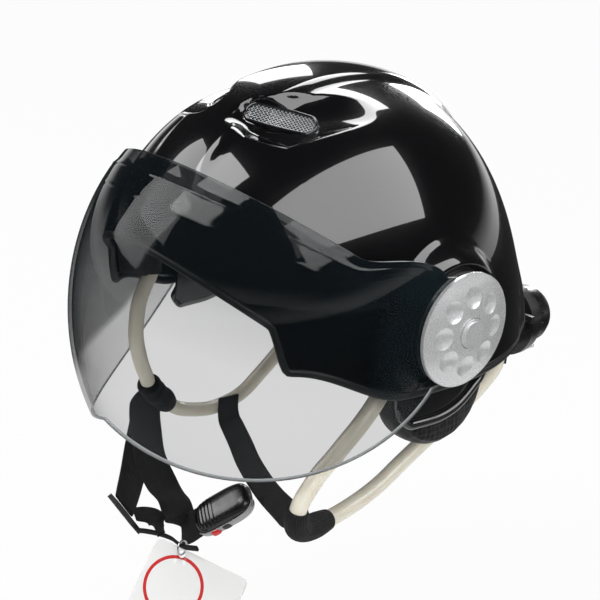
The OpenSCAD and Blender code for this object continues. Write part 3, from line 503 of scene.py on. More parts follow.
def leatherette():
    """Smooth black leatherette: shallow pebble grain and fine creases."""
    f = Finish("leatherette", (0.005, 0.005, 0.0055), 0.42, Specular_IOR_Level=0.3)
    f.bump(f.cells(650), 0.0003, 0.35)
    f.bump(f.noise(70, 4, f.place(scale=(1, 1, 2.5))), 0.0008, 0.25)
    f.rough(f.noise(90, 4), (0.3, 0.32), (0.7, 0.52))
    return f.material


def spacer_knit(name, colour=(0.014, 0.014, 0.015), pitch=420):
    """Spacer mesh: rows of round holes in a knitted face."""
    f = Finish(name, colour, 0.9, Sheen_Weight=0.05, Sheen_Roughness=0.5, Specular_IOR_Level=0.2)
    hole = f.cells(pitch, randomness=0.35)
    f.bump(hole, 0.0008, 0.9)
    f.bump(f.noise(1600, 3), 0.0002, 0.5)
    # painted shade in the holes and painted highlight on the knit between them: the colour follows the holes' depth
    hole_painted_shade, knit_painted_highlight = (tuple(k * c for c in colour) for k in (0.12, 2.2))
    f.colour(hole, (0.15, hole_painted_shade), (0.45, colour), (0.8, knit_painted_highlight))
    return f.material


def liner_foam():
    """Moulded bead foam under a thin dark skin: soft polygons with narrow joints."""
    f = Finish("liner_foam", (0.018, 0.018, 0.02), 0.78)
    bead = f.cells(330, feature="DISTANCE_TO_EDGE")
    f.bump(f.steps(bead, (0.0, 0.0), (0.12, 1.0)), 0.0004, 0.5)
    f.colour(bead, (0.0, (0.007, 0.007, 0.008)), (0.1, (0.019, 0.019, 0.021)))
    return f.material


def wire_mesh():
    """Dull steel wire."""
    f = Finish("vent_wire", (0.42, 0.43, 0.44), 0.4, Metallic=1.0)
    f.rough(f.noise(700, 2), (0.3, 0.34), (0.7, 0.5))
    return f.material


def tag_card():
    """Laminated white card with one plain red ring, centred in UV at (0.36, -1.96) cm."""
    white, red = (0.86, 0.86, 0.85), (0.62, 0.02, 0.02)
    f = Finish("tag_card", white, 0.3, Coat_Weight=0.3, Coat_Roughness=0.1)
    far = f.node("ShaderNodeVectorMath", f.place("UV"), (0.36, -1.96, 0), operation="DISTANCE")
    face = f.colour(f.sum("DIVIDE", far.outputs["Value"], 4.0), (0.0, white), (0.415, red), (0.465, white))
    face.node.color_ramp.interpolation = "CONSTANT"
    f.bump(f.noise(60, 3), 0.0003, 0.06)
    return f.material


SHELL = shell_lacquer()
PART_GLOSS = gloss("part_gloss", (0.006, 0.006, 0.007))
DIAL_GLOSS = gloss("dial_gloss", (0.009, 0.009, 0.010), 0.3, 0.15)
EAR_GLOSS = gloss("ear_gloss", (0.010, 0.010, 0.011), 0.16, 0.2)
FITTING = matt("fitting_black", (0.011, 0.011, 0.012), 0.45)
KNOB = knob_lacquer()
VISOR = visor_smoke()
# painted highlight: the visor's cut edges are coloured pale to give bright edge lines
VISOR_EDGE_PAINTED_HIGHLIGHT = gloss("visor_edge_painted_highlight", (0.62, 0.66, 0.67), 0.2, 0.5)
RUBBER = rubber()
CREAM = cream_tube()
STRAP = webbing()
PILE = hook_pile()
LEATHER = leatherette()
KNIT = spacer_knit("spacer_knit")
PAD_KNIT = spacer_knit("pad_knit", (0.02, 0.02, 0.022), 700)
EAR_KNIT = spacer_knit("ear_mesh", (0.010, 0.010, 0.0105), 300)
FOAM = liner_foam()
WIRE = wire_mesh()
STEEL = metal("steel", (0.58, 0.58, 0.60))
BRASS = metal("brass", (0.62, 0.47, 0.22), 0.32)
SILVER = gloss("cover_silver", (0.30, 0.30, 0.31), 0.22, 0.4)
POD = gloss("pod_black", (0.006, 0.006, 0.007), 0.24, 0.2)
RED = gloss("button_red", (0.62, 0.012, 0.012), 0.16, 0.6)
CARD = tag_card()
PALE = matt("lug_pale", (0.55, 0.55, 0.53), 0.4)

finishes = {
    KNOB: ("side_knob", "knob_cap"),
    FITTING: ("seat_ring", "cradle", "rack", "ear_track", "ear_plate", "tube_clips", "strap_slider"),
    STEEL: ("visor_bush", "hinge_stud", "dial_spindle", "dial_screw", "tag_ring"),
    BRASS: ("insert_nut",),
    DIAL_GLOSS: ("dial_housing", "dial_collar", "dial_knob"),
    PALE: ("dial_lug",),
}
for material, starts in finishes.items():
    for name, piece in nodes.items():
        if name.startswith(starts):
            for socket in piece.material_slots:
                socket.material = material


# The helmet's surface
def plan(f, d):
    """Outline in plan, pulled in by d: radius = ((|sin|/a)^n + (|cos|/b)^n)^(-1/n)."""
    n = PLAN_POWER
    reach = np.where(cos(f) < 0, REAR, FRONT) - d
    return ((np.abs(sin(f)) / (HALF_WIDTH - d)) ** n + (np.abs(cos(f)) / reach) ** n) ** (-1 / n)


def turn(f):
    """Azimuth folded to 0..180, the same on both sides."""
    g = np.abs(f) % 360
    return np.where(g > 180, 360 - g, g)


def girth(f):
    """Height of the widest line, which rises to the brow."""
    return -32 + 32 * cos(f)


def flare(f, z, d):
    """How far the outer skin flares out over the nape."""
    return NAPE_FLARE * ease(140, 172, turn(f)) * ease(34, -NAPE, z) * ease(INNER, LINER + 1, d)


def rim(f):
    """Height of the lower edge: an arched brow, a step at each temple, low at the ears and nape."""
    g = turn(f)
    return (
        BROW
        - BROW_ARCH * np.minimum(1, g / 38) ** 1.8
        - TEMPLE_STEP * ease(37, 42, g)
        + (TEMPLE_STEP + BROW_ARCH - BROW - SIDE) * ease(44, 74, g)
        + (SIDE - NAPE) * ease(120, 165, g)
    )


def dome_r(f, z, d):
    """Radius at height z: above the girth the quarter sin(acos(h^(1/.94)))^.94 of the plan, below it a slight tuck."""
    g = girth(f)
    share = np.clip((z - g) / (CROWN - d - g), 0, 1) ** (1 / DOME_POWER)
    high = np.sin(np.arccos(np.minimum(1, share))) ** DOME_POWER
    low = 1 - (0.02 + 0.09 * np.maximum(0, cos(f)) ** 2) * ((g - z) / 50) ** 2
    return plan(f, d) * np.where(z >= g, high, low) + flare(f, z, d)


def polar(f, r, z):
    """Point at azimuth f, radius r and height z."""
    return coords(r * sin(f), -r * cos(f), z)


def wall(f, z, d):
    """Point of the skin at depth d, azimuth f and height z."""
    return polar(f, dome_r(f, z, d), z)


def upper(f, t, d):
    """Point of the dome at angle t from the crown."""
    z = girth(f) + (CROWN - d - girth(f)) * np.maximum(0, cos(t)) ** DOME_POWER
    return polar(f, plan(f, d) * sin(t) ** DOME_POWER + flare(f, z, d), z)


def dome_point(f, s, e, d):
    """Point at share s of the way from the crown to an edge at height e; the first 34 degrees are even."""
    g = girth(f)
    top = CROWN - d - g
    high = np.degrees(np.arccos(np.clip((e - g) / top, 0, 1) ** (1 / DOME_POWER)))
    last = np.where(e >= g, high, 90 + 1.2 * (g - e))
    a = np.where(s < 0.4, 34 * s / 0.4, mix(34, last, (s - 0.4) / 0.6))
    down = np.clip((a - 90) / np.maximum(last - 90, 1e-6), 0, 1)
    return np.where((a <= 90)[..., None], upper(f, np.minimum(a, 90), d), wall(f, mix(g, e, down), d))


def scoop(p, margin=0.0):
    """Vent scoop: 0 outside, 1 at its deepest, round at the front and pointed at the back.

    It widens as (1-u)^.45 u^.5 along its length and rounds off as (1-v^2)^.8 across it.
    """
    u = (p[..., 1] - SCOOP_FRONT + margin) / (SCOOP_LENGTH + 2 * margin)
    inside = (u > 0) & (u < 1) & (p[..., 2] >= 40)
    u = np.clip(u, 1e-6, 1)
    w = (SCOOP_WIDTH + margin) * (1 - u) ** 0.45 * np.minimum(1, u / 0.2) ** 0.5 + 0.01
    v = (np.abs(p[..., 0]) - 14 - 34 * u**0.6) / w
    depth = np.maximum(0, 1 - v * v) ** 0.8 * ease(0, 0.12, u) * ease(1, 0.45, u)
    return np.where(inside & (np.abs(v) < 1), depth, 0)


def spine(p):
    """The raised centre band over the crown."""
    return ease(26, 17, np.abs(p[..., 0])) * ease(66, 92, p[..., 2])


def pushed(p, amount):
    """Points moved away from the middle of the head."""
    return p + unit(p - np.array([0, 0, 12.0])) * np.asarray(amount)[..., None]


def scooped(p):
    """The skin with its two scoops sunk."""
    return pushed(p, -SCOOP_DEPTH * scoop(p))


def bossed(p):
    """The flat round boss at each hinge: within its radius the wall stands at the full half width."""
    r = np.hypot(p[..., 1], p[..., 2])
    k = ease(BOSS_EDGE, BOSS_FLAT, r) * (np.abs(p[..., 0]) >= 60)
    out = p.copy()
    out[..., 0] = np.sign(p[..., 0]) * mix(np.abs(p[..., 0]), HALF_WIDTH, k)
    return out


def vent_frame():
    """Middle of the left vent, and its across, along and outward directions."""
    def surface(x, y):
        f = np.degrees(np.arctan2(x, -y))
        t = np.degrees(np.arcsin(min(1, (np.hypot(x, y) / plan(f, 0)) ** (1 / DOME_POWER))))
        return scooped(np.array([x, y, girth(f) + (CROWN - girth(f)) * cos(t) ** DOME_POWER]))

    across = surface(VENT_X + 4, VENT_Y) - surface(VENT_X - 4, VENT_Y)
    along = surface(VENT_X, VENT_Y + 8) - surface(VENT_X, VENT_Y - 8)
    n = unit(np.cross(across, along))
    lean = about(1, np.arctan2(n[0], n[2])) @ about(0, -np.arcsin(n[1]))
    return surface(VENT_X, VENT_Y), (lean @ about(2, np.radians(VENT_TURN))).T


VENT_AT, VENT_AXES = vent_frame()


def vent_well(p):
    """How far a point lies inside the vent's slot, 0 to 1, on either side of the helmet."""
    q = p.copy()
    q[..., 0] = np.abs(p[..., 0])
    q = (q - VENT_AT) @ VENT_AXES.T
    core = (VENT_LENGTH - VENT_WIDTH) / 2
    away = np.hypot(q[..., 0], q[..., 1] - np.clip(q[..., 1], -core, core))
    return ease(VENT_WIDTH / 2 - 0.1, VENT_WIDTH / 2 - 1.5, away) * (np.abs(q[..., 2]) < 14)


def outer_point(p):
    """Outside of the shell: spine raised, scoops and vent wells sunk, hinge bosses flat."""
    return bossed(pushed(p, SPINE_RISE * spine(p) - SCOOP_DEPTH * scoop(p) - 5 * vent_well(scooped(p))))


def inner_point(p):
    """Inside of the shell, which follows the scoops and, less deeply, the vent wells."""
    return pushed(p, -SCOOP_DEPTH * scoop(p) - 2.2 * vent_well(scooped(p)))


def liner_point(p):
    """Outside of the liner, hollowed a little wider and deeper than the scoops."""
    return pushed(p, -9 * scoop(p, 8) ** 0.7)


def bowl(name, cols, outer_rows, inner_rows, edge, d0, d1, shape0, shape1, material):
    """Bowl with an outer skin at depth d0 and an inner one at depth d1, joined round the edge."""
    f = turns(cols)
    s0 = (np.arange(1, outer_rows + 1) / outer_rows)[:, None]
    s1 = (np.arange(inner_rows, 0, -1) / inner_rows)[:, None]
    e = edge(f)[None]
    outer = shape0(dome_point(f[None], s0, e, d0))
    inner = shape1(dome_point(f[None], s1, e, d1))
    return skin(name, np.concatenate([outer, inner]), material)


def notched(f):
    """Edge of the liner, which stops higher round the ear pieces."""
    g = turn(f)
    return rim(f) + 1 + (SIDE + 44) * ease(46, 53, g) * ease(150, 143, g)


shell = bowl("shell_skin", 440, 170, 40, rim, 0.0, WALL, outer_point, inner_point, SHELL)
on_body(shell, "shell_black", "outer_shell")
liner = bowl("liner_bowl", 240, 80, 70, notched, LINER, INNER, liner_point, lambda p: p, FOAM)
on_body(liner, "liner_foam", "foam_liner")


def edge_bead():
    """Rubber bead along the edge: a soft square of radius TRIM carried square to the edge line."""
    f = turns(480)
    c = wall(f, rim(f), WALL / 2) - np.array([0, 0, TRIM + 0.1])
    out = np.stack([sin(f), -cos(f), 0 * f], -1)
    along = unit(np.roll(c, -1, 0) - np.roll(c, 1, 0))
    up = unit(np.cross(along, out))
    up *= np.sign(up[:, 2:3])
    b = turns(16)
    rings = c[:, None] + TRIM * spread(signed_power(cos(b), 0.8), signed_power(sin(b), 0.8), out, up)
    return torus("edge_bead", rings, RUBBER)


on_body(edge_bead(), "trim_rubber", "edge_trim")


# Vents
def slot_outline(length, width, count):
    """Points round a slot with round ends, with their outward directions."""
    core = (length - width) / 2
    a = turns(count)
    out = np.stack([cos(a), sin(a)], -1)
    shift = np.clip(2.2 * sin(a), -1, 1) * core
    return out * width / 2 + np.stack([0 * a, shift], -1), out


def vent_pieces(side):
    """Bezel: a rounded lip carried round the slot.

    Mesh: two sets of wires on the slant, which pass over and under each other as sines.
    """
    def placed(q):
        return mirrored(VENT_AT + q @ VENT_AXES, side)

    edge, out = slot_outline(VENT_LENGTH - 1.7, VENT_WIDTH - 1.7, 160)
    b = turns(14)
    across = 0.95 * signed_power(cos(b), 0.8)
    up = 2.8 * signed_power(sin(b), 0.9) - 0.2
    flat = edge[:, None] + across[None, :, None] * out[:, None]
    rings = np.concatenate([flat, np.broadcast_to(up[None, :, None], (160, 14, 1))], -1)
    lip = torus(f"vent_lip_{side}", placed(rings), PART_GLOSS)
    on_body(lip, "shell_black", f"vent_bezel_{side}")

    pitch, wire, sides = 1.5, 0.22, 5
    core, half = (VENT_LENGTH - VENT_WIDTH) / 2, VENT_WIDTH / 2 - 1.2
    b = turns(sides)
    u = np.array([[0, 0, 1.0]])
    run = np.arange(-24, 24, pitch / 5)
    slants = np.array([[0.5, 0.5], [-0.5, 0.5]]) * 2**0.5
    points, quads, base = [], [], 0
    for sign, along, beside in ((1, *slants), (-1, *slants[::-1])):
        for i in range(-16, 17):
            x, y = (run[:, None] * along + i * pitch * beside).T
            inside = np.hypot(x, np.maximum(0, np.abs(y) - core)) < half
            if inside.sum() <= 4:
                continue
            wave = sign * 0.24 * np.cos(np.pi * (run / pitch + i))
            path = np.stack([x, y, 1.0 + wave], -1)[inside]
            v = unit(np.cross(unit(np.gradient(path, axis=0)), u))
            points.append((path[:, None] + wire * spread(cos(b), sin(b), u, v)).reshape(-1, 3))
            quads.append(ring_quads(len(path), sides, base))
            base += len(path) * sides
    mesh = make_mesh(f"vent_weave_{side}", placed(np.concatenate(points)), np.concatenate(quads), WIRE)
    on_body(mesh, "vent_mesh", f"vent_mesh_{side}")


for side in ("left", "right"):
    vent_pieces(side)


# Visor
VISOR_T, VISOR_REACH, LOBE = 2.2, 152.5, 28.5
VISOR_X = HALF_WIDTH + SEAT_GAP + SEAT_T + SEAT_GAP + VISOR_T
VISOR_ROWS = 1 - (1 - np.arange(171) / 170) ** 1.5


def visor_surface(d):
    """Visor at depth d, in columns c from 0 in front to 90 at the side, where the sheet ends in a round lobe.

    x = X sin^1.06 and radius = 35 + (R - 35) cos^1.06, shrinking with height. A crease and two fine ridges run
    under the top edge.
    """
    cols, lobe = 90, 14
    v = VISOR_ROWS

    def ring(c, k):
        x = (VISOR_X - d) * sin(c) ** 1.06
        r0 = 35 + (VISOR_REACH - d - 35) * np.maximum(0, cos(c)) ** 1.06
        low, high = -22.5 - 38 * (c / 90) ** 1.17, 35 + 28 * ease(62, 90, c)
        a = mix(low, high, v)
        below = (high - a) * 2.4
        front = np.maximum(0, cos(c))
        ridge = 0.3 * bell(below, 11, 0.7) + 0.15 * bell(below, 24, 0.7)
        r = r0 * (1 - (0.07 * a / 30 + 0.02 * (a / 30) ** 2) * front**0.5) + (ridge - ease(11, 7, below)) * front
        p = np.stack([x + 0 * a, -r * cos(a), r * sin(a)], -1)
        b = mix(-85, 75, v)
        q = np.stack([VISOR_X - d + 0 * b, LOBE * cos(b), LOBE * sin(b)], -1)
        return mix(p, q, k)

    face = [ring(90.0 * i / cols, 0.0) for i in range(cols + 1)]
    half = np.array(face + [ring(90.0, k / lobe) for k in range(1, lobe + 1)])
    return np.concatenate([mirrored(half[:0:-1]), half])


def visor_piece():
    """The smoke sheet, with its cut edges painted pale: a painted highlight along each edge."""
    outer, inner = visor_surface(0.0), visor_surface(VISOR_T)
    m, n = outer.shape[:2]
    uvs = coords(np.linspace(-1, 1, m)[:, None], VISOR_ROWS[None])
    piece = sheet("visor_sheet", outer, inner, VISOR, uvs)
    # painted highlight on the cut edges
    piece.data.materials.append(VISOR_EDGE_PAINTED_HIGHLIGHT)
    faces = np.arange(len(piece.data.polygons)) >= 2 * (m - 1) * (n - 1)
    piece.data.polygons.foreach_set("material_index", faces.astype(np.int32))
    return on_body(piece, "visor_smoke", "visor", body="visor_body")


visor_piece()


# Pads inside
def wall_pad(name, f0, f1, z0, z1, channels, replaced):
    """Soft pad on the liner between two azimuths and two heights, drawn in along its sewn channels.

    Over its own square, u and v from -1 to 1, its thickness goes as ((1-u^4)(1-v^4))^.5.
    """
    m, n = 120, 44
    s, t = np.linspace(0, 1, m)[:, None], np.linspace(0, 1, n)[None]
    f, z = mix(f0, f1, s) + 0 * t, mix(z0, z1, t) + 0 * s
    seam = np.exp(-((((s * channels) % 1 - 0.5) ** 2) * 900 / channels**0.5))
    u, v = 2 * s - 1, 2 * t - 1
    thick = PAD_EDGE + (PAD - PAD_EDGE) * np.sqrt(np.maximum(0, (1 - u**4) * (1 - v**4))) * (1 - 0.35 * seam)
    near, far = dome_r(f, z, INNER + 1), dome_r(f, z, INNER + 1 + PAD)
    front = polar(f, near - (near - far) * thick / PAD, z)
    piece = sheet(name, wall(f, z, INNER + 0.9), front, PAD_KNIT)
    return on_body(piece, "pad_cloth", replaced)


wall_pad("brow_cushion", -40, 40, BROW + 3, BROW + 31, 5, "brow_pad")
wall_pad("nape_cushion", 150, 210, -30, 2, 3, "nape_pad")
wall_pad("side_cushion_left", 60, 122, 50, 74, 3, "side_pad_left")
wall_pad("side_cushion_right", -122, -60, 50, 74, 3, "side_pad_right")


def crown_cushion():
    """Round pad under the crown: thickness (1-k^4)^.5 over its radius, pressed in along six radial seams."""
    f = turns(96)
    k = np.linspace(0.04, 1, 30)[:, None]
    t = 27 * k
    seam = np.exp(-((((f / 60) % 1 - 0.5) ** 2) * 500))[None] * ease(0.15, 0.4, k)
    thick = PAD_EDGE + (PAD - PAD_EDGE) * np.sqrt(1 - k**4) * (1 - 0.3 * seam)
    back, deep = (upper(f[None] + 0 * t, t + 0 * f, d) for d in (INNER + 0.7, INNER + 0.7 + PAD))
    front = back + (deep - back) * (thick / PAD)[..., None]
    return skin("crown_cushion", np.concatenate([back, front[::-1]]), PAD_KNIT)


on_body(crown_cushion(), "pad_cloth", "crown_pad")


# Ear pieces
EAR_D = WALL + TRIM - 0.8
EAR_Y0, EAR_Y1, EAR_WALL, LIP = -31.0, 64.03, 2.4, 2.8


def side_x(y, z, d):
    """Side wall position at a given y, found by nine steps of azimuth."""
    f = 90.0 + 0 * np.asarray(y, float)
    for _ in range(9):
        f = np.degrees(np.arccos(np.clip(-y / dome_r(f, z, d), -0.99, 0.99)))
    return dome_r(f, z, d) * sin(f)


def ear_shell(side):
    """Ear shell: sections across the wall at each y, an S from the shell's edge down to a rolled lip."""
    y = np.linspace(EAR_Y0, EAR_Y1, 140)[:, None]
    ends = ease(-8, 8, y - EAR_Y0) * ease(0, 30, EAR_Y1 - y)
    z1 = mix(-SIDE + 2, -50 + 19 * ease(-8, 60, y), ends**0.6)
    x0 = side_x(y, -SIDE, EAR_D)
    x1 = x0 + mix(2.2 * ease(-38, -48, z1), -4.5, ease(30, 52, y))
    t = np.linspace(0, 1, 22)[None]
    a = 130 - 12.5 * np.arange(21)[None]
    x = np.concatenate([mix(x0, x1, t**3), x1 + 1 + LIP * cos(a), mix(x0, x1, t[:, ::-1] ** 3) - EAR_WALL], 1)
    z = np.concatenate([mix(-24, z1, t), z1 - LIP * 0.9 + LIP * sin(a), mix(-24, z1, t[:, ::-1])], 1)
    rings = coords(x, y, z)
    piece = skin(f"ear_wing_{side}", mirrored(rings, side), EAR_GLOSS)
    return on_body(piece, "ear_shell_grey", f"ear_shell_{side}")


CUSHION_AT_Y, CUSHION_AT_Z, CUSHION_R, LEAN, TILT = 20.0, -44.0, 12.0, 6.0, 14.0
TRACK_T, PLATE_T = 2.4, 1.8
PLATE_X = side_x(CUSHION_AT_Y + 6, -SIDE, EAR_D) - EAR_WALL - GAP - TRACK_T - GAP


def ear_place(local, side):
    """From the ear piece's own frame, which leans with the wall, to the helmet; the right one rests drawn up."""
    x, y, z = local[..., 0], local[..., 1], local[..., 2] + (EAR_TRAVEL if side == "right" else 0)
    across, up = x * cos(LEAN) - z * sin(LEAN), x * sin(LEAN) + z * cos(LEAN)
    return mirrored(np.stack([PLATE_X + across, CUSHION_AT_Y + y, CUSHION_AT_Z + up], -1), side)


def cushion_middle(y):
    """Local x of the cushion's middle, which bows with the wall."""
    return -PLATE_T - GAP - CUSHION_R + side_x(CUSHION_AT_Y + y, -SIDE, EAR_D) - side_x(CUSHION_AT_Y, -SIDE, EAR_D)


def tilted(a, b):
    """Two coordinates of the cushion's oval, turned by its tilt."""
    return a * cos(TILT) - b * sin(TILT), a * sin(TILT) + b * cos(TILT)


def ear_cushion(side):
    """Oval roll of leatherette: along an oval, a soft square of 24 by 24 mm with powers of .75.

    It is drawn in along a seam on each face and lightly puckered there.
    """
    a = -turns(192)[:, None]
    b = turns(56)[None]
    cy, cz = tilted(30 * cos(a), 22 * sin(a))
    ny, nz = tilted(cos(a), sin(a))
    seam = bell(b, 50, 9) + bell(b, 130, 9)
    pucker = bell(b, 50, 26) * sin(a * 26) * 0.35 + bell(b, 250, 40) * sin(a * 19) * 0.25
    size = 1 - 0.07 * seam + 0.018 * pucker
    u, w = signed_power(cos(b), 0.75) * size, signed_power(sin(b), 0.75) * size
    y, z = cy + ny * CUSHION_R * w, cz + nz * CUSHION_R * w
    x = cushion_middle(y) + CUSHION_R * u
    rings = ear_place(coords(x, y, z), side)
    piece = torus(f"ear_roll_{side}", rings, LEATHER)
    piece.data.materials.append(EAR_KNIT)
    outer = (np.arange(56) < 7) | (np.arange(56) > 44)
    piece.data.polygons.foreach_set("material_index", np.tile(outer, 192).astype(np.int32))
    return on_body(piece, "cushion_leather", f"ear_cushion_{side}", body=f"ear_piece_{side}")


def ear_cloth(side):
    """Knitted cloth stretched across the cushion's middle, sagging a little."""
    f = turns(96)
    k = np.linspace(0.03, 1, 24)[:, None]
    y, z = tilted(17.5 * k * cos(f)[None], 9.5 * k * sin(f)[None])
    sag = 1.5 * (1 - k**2)
    x = cushion_middle(y)
    front = coords(x + 1.6 + sag, y, z)
    back = coords(x - 0.8 + sag, y, z)
    rings = ear_place(np.concatenate([front, back[::-1]]), side)
    piece = skin(f"ear_knit_{side}", rings, KNIT)
    return on_body(piece, "pad_cloth", f"ear_cloth_{side}", body=f"ear_piece_{side}")


for side in ("left", "right"):
    ear_shell(side)
    ear_cushion(side)
    ear_cloth(side)


# Tubes
SOCKET = TUBE / 2 + 2


def clip_point(f, z0, hand, z):
    """Point of a tube at height z where its clip, at height z0, holds it off the shell."""
    return polar(hand * f, dome_r(f, z0, WALL) - GAP - SOCKET - 0.4, z)


def tube_path(hand, f, z, route):
    """From the clip at the temple by the listed points to the clip behind the ear."""
    first = [clip_point(f, z, hand, z - drop) for drop in (2.4, 13)]
    last = [clip_point(133, -24, hand, height) for height in (-37, -26.4)]
    return np.array([*first, *route, *last])


LEFT_TUBE = tube_path(1, 70, -12, [
    (93, -34, -34), (94, -41, -42), (94, -50, -51), (92.5, -57, -59), (90.5, -63, -67), (88, -69, -75),
    (87.5, -75, -82), (87, -81, -91), (85, -81, -102), (82, -73, -111), (78, -52, -114), (75, -30, -113),
    (72, -8, -109), (70, 10, -102), (69, 26, -95), (69, 42, -87), (71, 56, -77), (75, 68, -64), (79, 75, -50)])
RIGHT_TUBE = tube_path(-1, 55, -6, [
    (-87, -64, -27), (-87, -68, -37), (-86.5, -70, -48), (-86.5, -70, -61), (-87, -66, -77), (-90, -60, -89),
    (-94, -53, -101), (-95, -43, -112), (-95, -32, -121), (-94, -21, -125), (-92, -6, -127), (-91, 9, -125),
    (-90, 21, -120), (-89, 33, -110), (-88, 45, -99), (-87, 57, -86), (-86, 67, -71), (-83, 74, -55)])
left_path, right_path = curve(LEFT_TUBE, 12), curve(RIGHT_TUBE, 12)
for side, path in (("left", left_path), ("right", right_path)):
    on_body(pipe(f"cream_tube_{side}", path, TUBE / 2, CREAM), "tube_cream", f"tube_{side}")


def sleeve(name, path, i0, i1, thick, material, replaced, roughen):
    """Cloth sleeve round a stretch of tube: tube/2 + thickness, swelling by a slow sine and closed at its ends."""
    part = path[i0:i1 + 1]
    share = np.linspace(0, 1, len(part))
    ends = np.minimum(1, 6 * np.minimum(share, 1 - share) + 0.15) ** 0.5
    radius = TUBE / 2 + 0.2 + thick * ends + roughen * np.sin(share * 19)
    return on_body(pipe(name, part, radius, material, 32), "webbing", replaced)


sleeve("apex_sleeve", left_path, 112, 144, 2.1, STRAP, "tube_sleeve", 0.1)
sleeve("pile_wrap", right_path, 90, 114, 2.9, PILE, "tube_wrap", 0.25)

# Straps: piece, solid, share of the full width, length of the narrow start, first and last width vector, points
STRAPS = (
    ("chin_webbing", "chin_strap", 1.0, 13.0, (0.3, 0.9, 0.1), (0.8, -0.39, -0.45), [
        (-97.5, -50.5, -103), (-98.5, -53.5, -109.5), (-96, -56, -119), (-91, -58, -129), (-81, -61, -144),
        (-66, -62, -155), (-50, -63, -161), (-40, -66, -166), (-33, -68.5, -168.5), (-27.6, -67.9, -167.1),
        (-23.6, -64.6, -163), (-20, -61.5, -159.3)]),
    ("second_webbing", "strap_second", 1.0, 0.0, (0.2, 0.9, -0.2), (0.17, 0.52, -0.84), [
        (-103, -50, -120), (-100, -55, -132), (-92, -64, -144), (-82, -74, -154), (-72, -84, -160),
        (-65.7, -90.3, -162.5)]),
    ("upper_loop", "strap_loops", 0.6, 0.0, (0.2, 0.6, -0.7), (0.6, -0.6, -0.2), [
        (-54, -90, -163), (-48, -85, -162), (-43, -82, -163.5), (-39, -81.4, -167.7), (-37, -81.4, -171.7)]),
    ("lower_loop", "strap_loops", 0.2, 0.0, (0.2, 0.6, -0.7), (0.2, 0.5, -0.8), [
        (-50, -91, -172), (-45, -88, -171), (-38, -83, -171), (-29, -79.5, -171), (-18, -79, -171),
        (-8, -75, -169)]),
    ("cross_webbing", "cross_strap", 0.8, 0.0, (0.07, 0.98, 0.13), (0.1, 0.8, 0.5), [
        (-84.8, 4, -118), (-84.8, 4, -128), (-83, 4, -134), (-78, 3, -137), (-62, -2, -142), (-42, -11, -144),
        (-18, -20, -145), (4, -30, -141), (26, -41, -134), (46, -53, -125), (60, -62, -118), (73, -70, -110)]),
)
for name, replaced, share, narrow, side0, side1, points in STRAPS:
    ribbon(name, points, side0, side1, WEB * share, replaced, narrow)


# Buckle and tag
BUCKLE_AT = np.array([-11.0, -54.0, -150.0])
BUCKLE_AXES = (about(2, np.radians(40)) @ about(1, np.radians(-38.5)) @ about(0, np.radians(35))).T


def rounded(u, v, half, p, q, r):
    """Rounded box of half sizes a, b, c: x = a sin^p u, y = b cos^p u cos^q v and z = c cos^p u sin^r v."""
    ring = signed_power(cos(u), p)
    x = half[0] * signed_power(sin(u), p)
    y = half[1] * ring * signed_power(cos(v), q)
    z = half[2] * ring * signed_power(sin(v), r)
    return coords(x, y, z)


def pod_surface(u, v, grow):
    """The buckle's box, each half size grown by grow."""
    return rounded(u, v, np.array([20, 11.5, 6.6]) + grow, 0.55, 0.7, 0.8)


def pod():
    """Buckle housing: the box with a parting groove round its middle and five grip grooves across its upper face."""
    local = pod_surface(np.linspace(-90, 90, 120)[:, None], turns(120)[None], 0.0)
    x, z = local[..., 0], local[..., 2]
    local[..., 1] *= 1 - 0.03 * bell(z, 0, 0.35)
    local[..., 2] -= 0.16 * (1 + np.cos(np.pi * x / 1.3)) * ease(2, 5, z) * ease(-17, -14, x) * ease(1, -2, x)
    return skin("buckle_pod", BUCKLE_AT + local @ BUCKLE_AXES, POD)


def buckle_side():
    """Silver side of the buckle: a thin skin that hugs the box along its lower side."""
    u, v = np.linspace(-60, 82, 90)[:, None], np.linspace(168, 232, 50)[None]
    front, back = (BUCKLE_AT + pod_surface(u, v, g) @ BUCKLE_AXES for g in (0.9, 0.2))
    return sheet("buckle_side", front, back, SILVER)


def lozenge(name, middle, half, material):
    """Small rounded bar on the buckle."""
    u, v = np.linspace(-90, 90, 30)[:, None], turns(40)[None]
    local = rounded(u, v, half, 0.6, 0.8, 0.8) + np.array(middle)
    return skin(name, BUCKLE_AT + local @ BUCKLE_AXES, material)


on_body(pod(), "buckle_black", "buckle_housing")
on_body(buckle_side(), "buckle_silver", "buckle_cover")
on_body(lozenge("latch_window", (0.0, -11.9, -0.6), (3.0, 0.9, 2.6), FITTING), "buckle_black")
cap = lozenge("button_cap", (-8.0, -11.6, -0.6), (3.1, 2.4, 2.4), RED)
on_body(cap, "button_red", "release_button", body="button")


